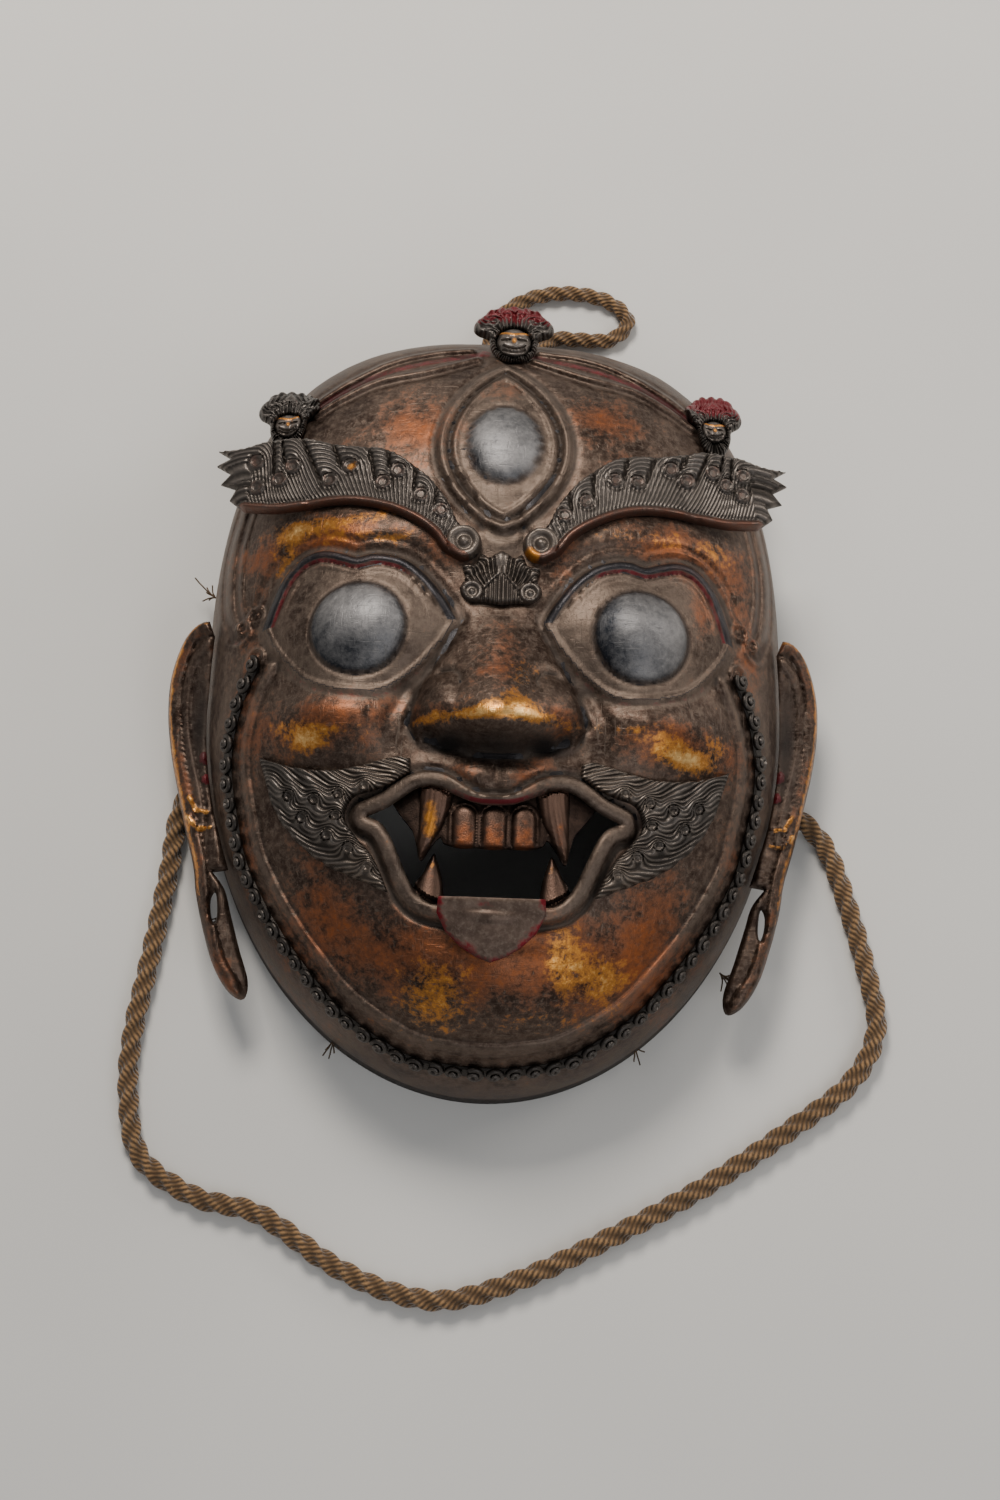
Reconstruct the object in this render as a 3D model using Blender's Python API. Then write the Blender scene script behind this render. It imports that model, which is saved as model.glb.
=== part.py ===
"""Ritual mask: a hollow face of raised sheet copper with riveted trim and a carrying rope.

The mask lies on its open back. +X is the viewer's right, +Y the crown and +Z the way the face looks.
Outlines and heights are drawn in millimetres on a face of the drawn size, and stretch with the face.
Walls, gaps, ropes and holes are real sizes that do not stretch.
"""

import math

import bmesh
import bpy
import numpy as np
from mathutils import Vector
from mathutils.bvhtree import BVHTree
from mathutils.geometry import delaunay_2d_cdt

# Driving sizes in metres
FACE_WIDTH = 0.298
FACE_LENGTH = 0.401
FACE_DEPTH = 0.112
WALL = 0.0015
HEM_WIDTH = 0.004
SEAT_GAP = 0.0003
TRIM_SHEET = 0.0022
EAR_SHEET = 0.0035
TONGUE_SHEET = 0.0020
TOOTH_SHEET = 0.0030
CURL_WIDTH = 0.0090
CURL_HEIGHT = 0.0058
CURLS_A_SIDE = 24
ROPE_DIAMETER = 0.011
LOOP_DIAMETER = 0.0085
HOLE_CLEARANCE = 0.0012
KNOT_DIAMETER = 0.024
LOOP_KNOT_LENGTH = 0.046

# Width, length and depth in millimetres of the drawn face that the outlines below are measured on.
# They say what the drawing means and are no sizes of the mask.
DRAWN = (298.0, 401.0, 112.0)
MM = 0.001

# Plan of the rim and swell of the dome, drawn
FACE_CENTRE_Y = 12.0
HALF_WIDTH = DRAWN[0] / 2
CROWN_SHARE = 207 / 401
CROWN_REACH = CROWN_SHARE * DRAWN[1]
CHIN_REACH = DRAWN[1] - CROWN_REACH
CROWN_SQUARE = 2.8
JAW_SQUARE = 2.0
DOME_SQUARE = 2.5
FLAT_STRETCH = 1.25

# Broad swellings of the face: centre x, centre y, radius x, radius y, height; x is mirrored
SWELLINGS = (
    (0, 128, 85, 55, 8),
    (66, 84, 48, 14, 6),
    (80, -12, 30, 20, 16),
    (0, -62, 58, 38, 14),
    (0, -132, 60, 30, 12),
    (69, 34, 36, 27, 14),
    (0, -38, 20, 9, 4),
)

# Outlines of the right half of the face, drawn
EYE = ((23.4, 36.7), (38, 56), (52.5, 69), (62, 69), (70.6, 66.2), (80, 72), (92.7, 74.5), (105, 62),
       (115.5, 41), (107, 25.3), (96, 12.5), (83.5, 5), (70, 2), (56, 3.7), (45.4, 9), (35.6, 19.4))
IRIS_AT = (68.7, 32.5)
IRIS_RADIUS = 22.0
THIRD_EYE = ((0, 184), (10, 176), (20, 164), (27, 151), (31, 136), (30, 121), (24, 107), (14, 95), (5, 88.5),
             (0, 86))
THIRD_IRIS_AT = (0, 132.5)
THIRD_IRIS_RADIUS = 19.5
MOUTH = ((0, -55), (8.5, -54), (17.8, -50.5), (26, -46.5), (32, -45), (38, -48), (47, -53), (59.3, -59.3),
         (52.4, -63.3), (46.6, -72.4), (42.2, -81), (39.8, -88), (35, -95), (26, -99.5), (0, -102))
LIP_ROLL = 8.0
NOSE_RISE = 36.0
NOSE_PROFILE = ((48, 0), (40, 4), (28, 12), (14, 21), (2, 29), (-8, 34.5), (-14, NOSE_RISE), (-19, 34), (-23.5, 25.5),
                (-27, 12), (-30, 0))
NOSE_PLAN = ((47, 14), (30, 22), (15, 31), (3, 38), (-8, 42), (-16, 42.5), (-24, 38), (-29, 32))
NOSE_UNDERCUT = 3.5
NOSE_LEVELS = (-14, -19.5, -24, -27, -30)
NOSE_HALF_WIDTH = 42.0
HEADBAND_LINES = (
    ((15, 191), (41, 180.5), (65, 175), (84, 165.5), (96, 158.3)),
    ((18, 200), (37, 197), (58, 190), (83, 175.5), (97, 165)),
)
TEMPLE_LINE = ((118, 136), (127, 120), (133, 100), (136, 80), (135, 57), (130, 40))
CURL_LINE = ((119.7, 21), (127.2, 4), (131.3, -16), (131, -33), (127, -54), (122.5, -72), (115, -88),
             (107, -102), (93.5, -121), (71, -146), (41, -165), (19, -170.5), (0, -172))
BROW_UPPER = ((144, 135), (132, 135), (118, 137), (101.7, 137), (86, 134), (70, 131.5), (57, 128.5), (45, 120),
              (34.8, 110.3), (27.2, 99.6), (22.4, 89.2), (12.5, 84))
BROW_LOWER = ((129, 101), (115, 98.5), (102.6, 98.5), (87.2, 99.5), (72.5, 98.5), (57.7, 94.5), (45, 88), (34.8, 80.7),
              (28.5, 73), (20, 68.3), (11.5, 71))
BROW_FREE_HEIGHT = ((20, 100), (100, 92), (118, 85), (130, 79), (146, 72))
MOUSTACHE_UPPER = ((115.3, -26), (108.5, -29.5), (95.7, -34), (81.2, -36.2), (68.6, -35.3), (57, -32.7),
                   (48, -30.4), (41, -31.5))
MOUSTACHE_LOWER = ((49.6, -94), (60.2, -89), (71, -84.2), (83.6, -77.2), (95.8, -66.4), (104.7, -54.3),
                   (110.5, -41))
MOUSTACHE_INNER = ((41, -38), (50, -43.5), (58, -46.5), (68, -49.5), (71.5, -58.8), (65.5, -68.5), (58, -77),
                   (53, -86))
# Outline of the right ear: how far out of the rim's widest place, and y
EAR_OUT = ((-11, 47), (-5, 53), (3, 53.5), (11, 46), (17, 29), (18, 10), (15.5, -10), (11, -30), (5.5, -52),
           (0.5, -70), (-1.5, -84), (-6, -102), (-12, -120), (-20, -133), (-28, -137), (-30, -128), (-25, -112),
           (-20, -95), (-16.5, -83), (-10, -74))
EAR = tuple((HALF_WIDTH + out, y) for out, y in EAR_OUT)
EAR_ROOT_Y = (46, 34, 22, 10, -2, -14, -26, -38, -50, -62, -73)
TONGUE = ((0, -97.5), (13, -97.5), (25.5, -97.5), (26, -105), (21.5, -113.5), (14.5, -120), (0, -127))
CREST = ((0, 74), (6, 71), (10, 72.5), (13, 67), (18.8, 66), (17.5, 60), (20, 54), (15.5, 48.5), (7, 48), (0, 47))


# Shapes of line and surface

def smooth_line(points, spacing, closed=False):
    """Points about `spacing` apart on the Catmull-Rom curve through `points`."""
    ring = [np.array(p, float) for p in points]
    if closed:
        ring = [ring[-1]] + ring + ring[:2]
    else:
        ring = [2 * ring[0] - ring[1]] + ring + [2 * ring[-1] - ring[-2]]
    dense = []
    for p, q, r, s in zip(ring, ring[1:], ring[2:], ring[3:]):
        for t in np.linspace(0, 1, 12, endpoint=False):
            dense.append(0.5 * (2 * q + (r - p) * t + (2 * p - 5 * q + 4 * r - s) * t * t
                                + (3 * q - p - 3 * r + s) * t ** 3))
    dense.append(ring[-2])
    dense = np.array(dense)
    along = np.concatenate([[0], np.cumsum(np.linalg.norm(np.diff(dense, axis=0), axis=1))])
    count = max(2, round(along[-1] / spacing))
    places = np.linspace(0, along[-1], count + 1)
    line = np.stack([np.interp(places, along, dense[:, k]) for k in range(dense.shape[1])], 1)
    return line[:-1] if closed else line


def mirrored(half):
    """A closed outline from its right half, which starts and ends on the middle line."""
    half = [tuple(p) for p in half]
    left = [(-x, y) for x, y in half[::-1] if x > 0.01]
    return half + left


def distance_to(line, x, y, closed=False):
    """Distance from each place (x, y) to a line of points."""
    ends = np.array(line, float)
    starts = ends if closed else ends[:-1]
    ends = np.roll(ends, -1, axis=0) if closed else ends[1:]
    best = np.full(np.shape(x), 1e9)
    for (ax, ay), (bx, by) in zip(starts, ends):
        dx, dy = bx - ax, by - ay
        t = np.clip(((x - ax) * dx + (y - ay) * dy) / max(dx * dx + dy * dy, 1e-9), 0, 1)
        best = np.minimum(best, np.hypot(x - ax - t * dx, y - ay - t * dy))
    return best


def inside(line, x, y):
    """Whether each place (x, y) lies inside a closed line."""
    within = np.zeros(np.shape(x), bool)
    points = np.array(line, float)
    for (ax, ay), (bx, by) in zip(points, np.roll(points, -1, axis=0)):
        if ay == by:
            continue
        crosses = (ay > y) != (by > y)
        within ^= crosses & (x < (bx - ax) * (y - ay) / (by - ay) + ax)
    return within


def signed_distance(line, x, y):
    """Distance to a closed line, negative inside it."""
    away = distance_to(line, x, y, closed=True)
    return np.where(inside(line, x, y), -away, away)


def ease(t):
    """A smooth step from 0 to 1."""
    t = np.clip(t, 0, 1)
    return t * t * (3 - 2 * t)


def ridge(away, half, height):
    """A rounded ridge where `away` is the distance from its crest."""
    return height * np.clip(1 - (away / half) ** 2, 0, 1)


def cap(away, radius, height):
    """A round cap with a steep edge."""
    return height * np.clip(1 - (away / radius) ** 2, 0, 1) ** 0.6


EYE_LINE = smooth_line(EYE, 4, closed=True)
THIRD_EYE_LINE = smooth_line(mirrored(THIRD_EYE), 4, closed=True)
MOUTH_LINE = smooth_line(mirrored(MOUTH), 6.2, closed=True)
FULL_CURL_LINE = [(-x, y) for x, y in CURL_LINE[:-1]] + list(CURL_LINE[::-1])


def rim_radius(angle):
    """Reach of the rim from the face's centre."""
    across = np.abs(np.cos(angle))
    along = np.sin(angle)
    square = np.where(along > 0, CROWN_SQUARE, JAW_SQUARE)
    reach = np.where(along > 0, CROWN_REACH, CHIN_REACH)
    return ((across / HALF_WIDTH) ** square + (np.abs(along) / reach) ** square) ** (-1 / square)


def to_flat(x, y):
    """Place on the flattened face, where the steep sides take the room they really have."""
    angle = np.arctan2(y - FACE_CENTRE_Y, x)
    reach = rim_radius(angle)
    share = np.clip(np.hypot(x, y - FACE_CENTRE_Y) / reach, 0, 1)
    turn = np.arcsin(share ** (DOME_SQUARE / 2)) / (math.pi / 2)
    return turn * reach * FLAT_STRETCH * np.cos(angle), turn * reach * FLAT_STRETCH * np.sin(angle)


def from_flat(u, v):
    """Plan place and dome height of a place on the flattened face."""
    angle = np.arctan2(v, u)
    reach = rim_radius(angle)
    turn = np.clip(np.hypot(u, v) / (reach * FLAT_STRETCH), 0, 1) * math.pi / 2
    share = np.sin(turn) ** (2 / DOME_SQUARE)
    height = DRAWN[2] * np.abs(np.cos(turn)) ** (2 / DOME_SQUARE)
    return share * reach * np.cos(angle), FACE_CENTRE_Y + share * reach * np.sin(angle), height


def nose_rise(x, y):
    """The broad nose, from its root between the eyes to the ball of the tip and the wings."""
    side = np.abs(x)
    profile = smooth_line(NOSE_PROFILE, 2)[::-1]
    plan = np.array(NOSE_PLAN, float)[::-1]
    half = np.interp(y, plan[:, 0], plan[:, 1])
    share = np.clip(side / half, 0, 1)
    lift = np.interp(y - NOSE_UNDERCUT * share ** 2, profile[:, 0], profile[:, 1])
    across = 0.45 * (1 - share ** 4) ** 0.6 + 0.55 * np.exp(-(share / 0.55) ** 2) * (1 - share ** 8)
    crease = distance_to(((25, -20), (24, -9), (28, 0), (36, 3)), side, y)
    return lift * across - ridge(crease, 3.5, 2.2) * (lift > NOSE_RISE / 3)


def eye_rise(x, y):
    """Lid ridge, eyeball and iris disc of both eyes."""
    side = np.abs(x)
    away = signed_distance(EYE_LINE, side, y)
    rise = ridge(away, 3.4, 3.2) - 2.2 * np.exp(-((away - 7) / 4) ** 2)
    rise = rise + np.where(away < 0, -1.5 * np.exp(-((away + 6) / 4) ** 2), 0)
    return rise + cap(np.hypot(side - IRIS_AT[0], y - IRIS_AT[1]), IRIS_RADIUS, 7.5)


def third_eye_rise(x, y):
    """The upright eye on the forehead, with its two ridges and iris disc."""
    away = signed_distance(THIRD_EYE_LINE, x, y)
    rise = ridge(away, 3.2, 2.8) + ridge(away + 7, 2.8, 1.8)
    return rise + cap(np.hypot(x - THIRD_IRIS_AT[0], y - THIRD_IRIS_AT[1]), THIRD_IRIS_RADIUS, 7)


def band_rise(x, y):
    """Ridges of the headband, of the temples and of the ledge inside the beard curls."""
    side = np.abs(x)
    rise = 0
    for line in HEADBAND_LINES:
        rise = rise + ridge(distance_to(line, side, y), 3.2, 2.6)
    rise = rise + ridge(distance_to(TEMPLE_LINE, side, y), 4, 2)
    ledge = distance_to(FULL_CURL_LINE, x, y)
    within = inside(FULL_CURL_LINE, x, y)
    return rise + np.where(within, ridge(ledge - 9, 3, 1.4), 0)


def lip_rise(x, y):
    """Rolled lips around the open mouth."""
    away = distance_to(MOUTH_LINE, x, y, closed=True)
    return ridge(away - LIP_ROLL / 2, LIP_ROLL / 2 + 0.4, 4.2)


def face_height(x, y, dome):
    """Height of the face's outer skin, drawn."""
    side = np.abs(x)
    rise = 0
    for at_x, at_y, wide, long, high in SWELLINGS:
        rise = rise + high * np.exp(-((side - at_x) / wide) ** 2 - ((y - at_y) / long) ** 2)
    rise = rise + nose_rise(x, y) + eye_rise(x, y) + third_eye_rise(x, y) + band_rise(x, y) + lip_rise(x, y)
    return dome + rise * ease(dome / 45)


def real(points):
    """Drawn millimetres to metres on the face as sized."""
    stretch = np.array((FACE_WIDTH, FACE_LENGTH, FACE_DEPTH)) / DRAWN
    points = np.asarray(points, float)
    return points * stretch[:points.shape[-1]]


def on_floor(points):
    """Rope points to metres: the plan stretches with the face, the height above the floor stays."""
    return np.asarray(points, float) * (FACE_WIDTH / DRAWN[0], FACE_LENGTH / DRAWN[1], MM)


# Making objects

def material(name, colour, roughness, metallic):
    """A plain Principled finish."""
    made = bpy.data.materials.new(name)
    made.use_nodes = True
    shader = made.node_tree.nodes["Principled BSDF"]
    shader.inputs["Base Color"].default_value = (*colour, 1)
    shader.inputs["Roughness"].default_value = roughness
    shader.inputs["Metallic"].default_value = metallic
    return made


def add_object(name, verts, faces, finish):
    """A named object from points in metres and faces."""
    mesh = bpy.data.meshes.new(name)
    mesh.from_pydata([tuple(map(float, v)) for v in verts], [], [tuple(map(int, f)) for f in faces])
    mesh.materials.append(finish)
    mesh.shade_smooth()
    mesh.set_sharp_from_angle(angle=math.radians(40))
    placed = bpy.data.objects.new(name, mesh)
    bpy.context.scene.collection.objects.link(placed)
    return placed


def triangles(points, loops):
    """Triangles over `points` whose closed `loops` of indices are kept as edges."""
    edges = [(loop[k], loop[(k + 1) % len(loop)]) for loop in loops for k in range(len(loop))]
    made = delaunay_2d_cdt([Vector(p) for p in points], edges, [], 0, 1e-7)
    return np.array([tuple(v) for v in made[0]]), [tuple(f) for f in made[2]]


def spread(zone, step, taken, clear):
    """Points of a hexagonal net inside `zone`, `clear` or more from all `taken` points."""
    low, high = zone.min(0), zone.max(0)
    kept = list(map(tuple, taken))
    known = np.array(kept)
    fresh = []
    row = 0
    y = low[1]
    while y <= high[1]:
        x = low[0] + (step / 2 if row % 2 else 0)
        while x <= high[0]:
            if inside(zone, np.array([x]), np.array([y]))[0]:
                if np.hypot(known[:, 0] - x, known[:, 1] - y).min() > clear:
                    fresh.append((x, y))
            x += step
        row += 1
        y += step * math.sqrt(3) / 2
    return fresh


def offset_line(line, away):
    """The line moved sideways, to its left when `away` is positive."""
    points = np.array(line, float)
    ahead = np.roll(points, -1, axis=0) - np.roll(points, 1, axis=0)
    normal = np.stack([-ahead[:, 1], ahead[:, 0]], 1)
    return points + away * normal / np.linalg.norm(normal, axis=1, keepdims=True)


def closed_wall(top, bottom, faces):
    """One closed skin from two layers of like points, stitched where the triangles end."""
    count = len(top)
    used = {}
    for a, b, c in faces:
        for pair in ((a, b), (b, c), (c, a)):
            used[pair] = used.get(pair, 0) + 1
    made = list(faces) + [(c + count, b + count, a + count) for a, b, c in faces]
    for a, b in used:
        if (b, a) not in used:
            made.append((b, a, a + count))
            made.append((b, a + count, b + count))
    return np.concatenate([top, bottom]), made


def plate_net(outline, step, extra=()):
    """Points and triangles that fill a closed outline, `extra` points among them."""
    outline = np.array(outline, float)
    points = list(map(tuple, outline)) + [tuple(p) for p in extra]
    points += spread(outline, step, np.array(points), step * 0.6)
    flat, faces = triangles(points, [list(range(len(outline)))])
    middle = flat[np.array(faces)].mean(1)
    faces = [f for f, keep in zip(faces, inside(outline, middle[:, 0], middle[:, 1])) if keep]
    used = sorted({k for f in faces for k in f})
    place = {k: n for n, k in enumerate(used)}
    return flat[used], [tuple(place[k] for k in f) for f in faces]


# The raised face

RIM_POINTS = 76
FINE_STEP = 7.8
COARSE_STEP = 19.0
LINE_STEP = 8.5
BAND_STEP = 14.0
LID_FOOT = 3.4


def both_sides(line):
    """A line of the right half and its mirror image."""
    points = np.array(line, float)
    return [points, points * (-1, 1)]


def circle(centre, radius, count):
    """Points around a circle."""
    turns = np.arange(count) / count * 2 * math.pi
    return np.stack([centre[0] + radius * np.cos(turns), centre[1] + radius * np.sin(turns)], 1)


def feature_lines():
    """Lines of points that hold the crests and feet of the face's relief."""
    lines = []
    eye = smooth_line(EYE, LINE_STEP, closed=True)
    for away in (0, LID_FOOT, -LID_FOOT):
        lines += both_sides(offset_line(eye, away))
    for radius, count in ((IRIS_RADIUS, 16), (IRIS_RADIUS - 2, 16), (IRIS_RADIUS / 2, 8)):
        lines += both_sides(circle(IRIS_AT, radius, count))
    lines += both_sides([IRIS_AT])
    third = smooth_line(mirrored(THIRD_EYE), LINE_STEP, closed=True)
    for away in (0, 3.2, -3.2, -7):
        lines.append(offset_line(third, -away if away == 3.2 else away))
    for radius, count in ((THIRD_IRIS_RADIUS, 14), (THIRD_IRIS_RADIUS - 2, 14), (THIRD_IRIS_RADIUS / 2, 7)):
        lines.append(circle(THIRD_IRIS_AT, radius, count))
    lines.append(np.array([THIRD_IRIS_AT], float))
    across = np.linspace(-NOSE_HALF_WIDTH, NOSE_HALF_WIDTH, 13)
    for level in NOSE_LEVELS:
        lines.append(np.stack([across, level + NOSE_UNDERCUT * (across / NOSE_HALF_WIDTH) ** 2], 1))
    for crest in HEADBAND_LINES:
        line = smooth_line(crest, BAND_STEP)
        for away in (0, 3.2, -3.2):
            moved = line + (0, away)
            lines += both_sides(moved)
    temple = smooth_line(TEMPLE_LINE, BAND_STEP)
    for away in (0, 4, -4):
        lines += both_sides(temple + (away, 0))
    return lines


def is_fine(x, y):
    """Whether a place carries relief that needs the fine net."""
    side = np.abs(x)
    near_eye = signed_distance(EYE_LINE, side, y) < 9
    near_third = signed_distance(THIRD_EYE_LINE, x, y) < 8
    near_mouth = distance_to(MOUTH_LINE, x, y, closed=True) < 15
    on_nose = (side < 48) & (y > -36) & (y < 50)
    return near_eye | near_third | near_mouth | on_nose


def face_net():
    """Flat places of the face's skin, its rim loop and its mouth loop."""
    turns = np.arange(RIM_POINTS) / RIM_POINTS * 2 * math.pi
    reach = rim_radius(turns) * FLAT_STRETCH
    rim = np.stack([reach * np.cos(turns), reach * np.sin(turns)], 1)
    mouth = np.stack(to_flat(*np.array(MOUTH_LINE).T), 1)
    points = list(map(tuple, rim)) + list(map(tuple, mouth))
    for away in (LIP_ROLL / 2, LIP_ROLL):
        lip = offset_line(MOUTH_LINE, away)
        if inside(MOUTH_LINE, lip[:1, 0], lip[:1, 1])[0]:
            lip = offset_line(MOUTH_LINE, -away)
        points += thin_out(np.stack(to_flat(*lip.T), 1), points, 3.2)
    for line in feature_lines():
        points += thin_out(np.stack(to_flat(*line.T), 1), points, 2.2)
    known = np.array(points)
    fine = spread(rim, FINE_STEP, known, FINE_STEP * 0.62)
    plan = np.array([from_flat(*p)[:2] for p in fine])
    hole = inside(MOUTH_LINE, plan[:, 0], plan[:, 1])
    fine = [p for p, keep in zip(fine, is_fine(plan[:, 0], plan[:, 1]) & ~hole) if keep]
    points += fine
    known = np.array(points)
    coarse = spread(rim, COARSE_STEP, known, COARSE_STEP * 0.58)
    plan = np.array([from_flat(*p)[:2] for p in coarse])
    points += [p for p, out in zip(coarse, inside(MOUTH_LINE, plan[:, 0], plan[:, 1])) if not out]
    rim_loop = list(range(RIM_POINTS))
    mouth_loop = list(range(RIM_POINTS, RIM_POINTS + len(mouth)))
    return np.array(points), rim_loop, mouth_loop


def thin_out(fresh, taken, clear):
    """The fresh points that keep `clear` of the taken ones and of each other."""
    known = [tuple(p) for p in taken]
    kept = []
    for p in map(tuple, fresh):
        near = np.array(known[-900:] + kept)
        if np.hypot(near[:, 0] - p[0], near[:, 1] - p[1]).min() > clear:
            kept.append(p)
    return kept


def vertex_normals(points, faces):
    """Area-weighted normals of the points."""
    corner = np.array(faces)
    a, b, c = points[corner[:, 0]], points[corner[:, 1]], points[corner[:, 2]]
    flat = np.cross(b - a, c - a)
    total = np.zeros_like(points)
    for k in range(3):
        np.add.at(total, corner[:, k], flat)
    return total / np.maximum(np.linalg.norm(total, axis=1, keepdims=True), 1e-12)


def face_skin():
    """Outer points, inner points and triangles of the face."""
    net, rim_loop, mouth_loop = face_net()
    flat, faces = triangles(net, [rim_loop, mouth_loop])
    middle = flat[np.array(faces)].mean(1)
    gone = inside(flat[mouth_loop], middle[:, 0], middle[:, 1])
    faces = [f for f, out in zip(faces, gone) if not out]
    x, y, dome = from_flat(flat[:, 0], flat[:, 1])
    dome[rim_loop] = 0
    outer = real(np.stack([x, y, face_height(x, y, dome)], 1))
    plain = real(np.stack([x, y, dome], 1))
    lean = vertex_normals(outer, faces) + vertex_normals(plain, faces)
    lean = lean / np.linalg.norm(lean, axis=1, keepdims=True)
    inner = outer - WALL * lean
    inward = lean[rim_loop] * (1, 1, 0)
    inward = inward / np.linalg.norm(inward, axis=1, keepdims=True)
    inner[rim_loop] = outer[rim_loop] - HEM_WIDTH * inward
    return outer, inner, faces


def cut_with(target, cutter):
    """Cut a hole in the target with a hidden cutter."""
    cutter.hide_render = True
    cutter.display_type = "WIRE"
    cut = target.modifiers.new("hole", "BOOLEAN")
    cut.operation = "DIFFERENCE"
    cut.solver = "EXACT"
    cut.object = cutter


def hole_cutter(name, at, along, radius, length):
    """A cylinder centred on `at` that runs along `along`."""
    made = bmesh.new()
    bmesh.ops.create_cone(made, cap_ends=True, segments=16, radius1=radius, radius2=radius, depth=length)
    mesh = bpy.data.meshes.new(name)
    made.to_mesh(mesh)
    made.free()
    placed = bpy.data.objects.new(name, mesh)
    placed.location = at
    placed.rotation_mode = "QUATERNION"
    placed.rotation_quaternion = Vector(along).to_track_quat("Z", "Y")
    bpy.context.scene.collection.objects.link(placed)
    return placed


# Trim that sits on the face

def surface_along(tree, point, direction):
    """How far along `direction` the carrier's skin lies at a point, or None."""
    start = Vector(point) + Vector(direction) * 0.5
    hit = tree.ray_cast(start, -Vector(direction))[0]
    return None if hit is None else hit.dot(Vector(direction))


def seat(points, faces, tree, direction, gap, parts=5):
    """Move points out along `direction` until their triangles clear the carrier by `gap`."""
    points = np.array(points, float)
    way = np.array(direction, float)
    shares = [(i / parts, j / parts, 1 - (i + j) / parts) for i in range(parts + 1) for j in range(parts + 1 - i)]
    for _ in range(4):
        lift = np.zeros(len(points))
        for face in faces:
            corner = points[list(face)]
            for share in shares:
                place = np.array(share) @ corner
                skin = surface_along(tree, place, direction)
                if skin is None:
                    continue
                short = skin + gap - place @ way
                if short > 0:
                    for k in face:
                        lift[k] = max(lift[k], short)
        if lift.max() < 1e-6:
            break
        points = points + lift[:, None] * way
    return points


def draped(points, tree, free):
    """Back points on the face's skin below them, and never lower than `free` drawn height."""
    made = []
    for (x, y), low in zip(real(points), free):
        skin = surface_along(tree, (x, y, 0), (0, 0, 1))
        floor = low * FACE_DEPTH / DRAWN[2]
        made.append((x, y, floor if skin is None else max(floor, skin + SEAT_GAP)))
    return np.array(made)


def trim_piece(name, outline, step, thickness, free, tree, finish, extra=()):
    """A raised plate with its back on the face and its front `thickness` proud of it."""
    flat, faces = plate_net(outline, step, extra)
    back = draped(flat, tree, free(flat[:, 0], flat[:, 1]))
    back = seat(back, faces, tree, (0, 0, 1), SEAT_GAP)
    front = back + np.stack([np.zeros(len(back))] * 2 + [thickness(flat[:, 0], flat[:, 1])], 1)
    verts, walls = closed_wall(front, back, faces)
    return add_object(name, verts, walls, finish)


def scalloped(line, depth, spacing):
    """A line resampled with every other point pushed out by `depth` like tips of hair."""
    points = smooth_line(line, spacing)
    ahead = np.gradient(points, axis=0)
    out = np.stack([ahead[:, 1], -ahead[:, 0]], 1) / np.linalg.norm(ahead, axis=1, keepdims=True)
    push = depth * (np.arange(len(points)) % 2)
    return points + out * push[:, None]


def flipped(points, side):
    """Points of the right half moved to the side asked for."""
    return np.array(points, float) * (side, 1)


def add_brow(name, side, tree, finish):
    """A combed brow with a rolled lower rim and a curl by the nose."""
    upper = scalloped(BROW_UPPER, -1.6, 6.5)
    lower = smooth_line(BROW_LOWER[::-1], 9)
    end = [(134, 110), (139, 121)]
    outline = flipped(np.concatenate([upper, lower, end]), side)
    rim = smooth_line(BROW_LOWER, 9)
    heights = np.array(BROW_FREE_HEIGHT, float)

    def thickness(x, y):
        near = np.abs(x)
        body = TRIM_SHEET + MM * (1.2 + ridge(distance_to(rim, near, y) - 3, 5, 2.4))
        return body + MM * ridge(np.hypot(near - 19, y - 77), 9, 3.0)

    def free(x, y):
        return np.interp(np.abs(x), heights[:, 0], heights[:, 1])

    crest = flipped(offset_line(rim, 3)[1:-1], side)
    return trim_piece(name, outline, 9.5, thickness, free, tree, finish, extra=crest)


def add_moustache(name, side, tree, finish):
    """A flame-like moustache swept back from the lip to a point on the cheek."""
    upper = scalloped(MOUSTACHE_UPPER, 1.6, 6.5)
    inner = smooth_line(MOUSTACHE_INNER, 9)
    lower = scalloped(MOUSTACHE_LOWER, -1.8, 6.5)
    outline = flipped(np.concatenate([upper, inner, lower]), side)
    spine = ((108, -34), (88, -52), (72, -62))

    def thickness(x, y):
        near = np.abs(x)
        flutes = 0.9 * np.cos(distance_to(MOUSTACHE_UPPER, near, y) / 9 * math.pi)
        return TRIM_SHEET + MM * (1.8 + ridge(distance_to(spine, near, y), 26, 2.2) + flutes)

    return trim_piece(name, outline, 8.5, thickness, lambda x, y: np.full(len(x), -50.0), tree, finish)


def add_crest(name, tree, finish):
    """The flame tuft with two curls at the root of the nose."""
    outline = smooth_line(mirrored(CREST), 4.5, closed=True)

    def thickness(x, y):
        near = np.abs(x)
        curls = ridge(np.hypot(near - 13.8, y - 53.5), 6, 3.2)
        boss = ridge(np.hypot(near / 0.9, (y - 58) / 1.2), 8, 3.6)
        return TRIM_SHEET + MM * (1 + curls + boss)

    return trim_piece(name, outline, 6, thickness, lambda x, y: np.full(len(x), -50.0), tree, finish,
                      extra=[(13.8, 53.5), (-13.8, 53.5), (0, 58)])


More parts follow.
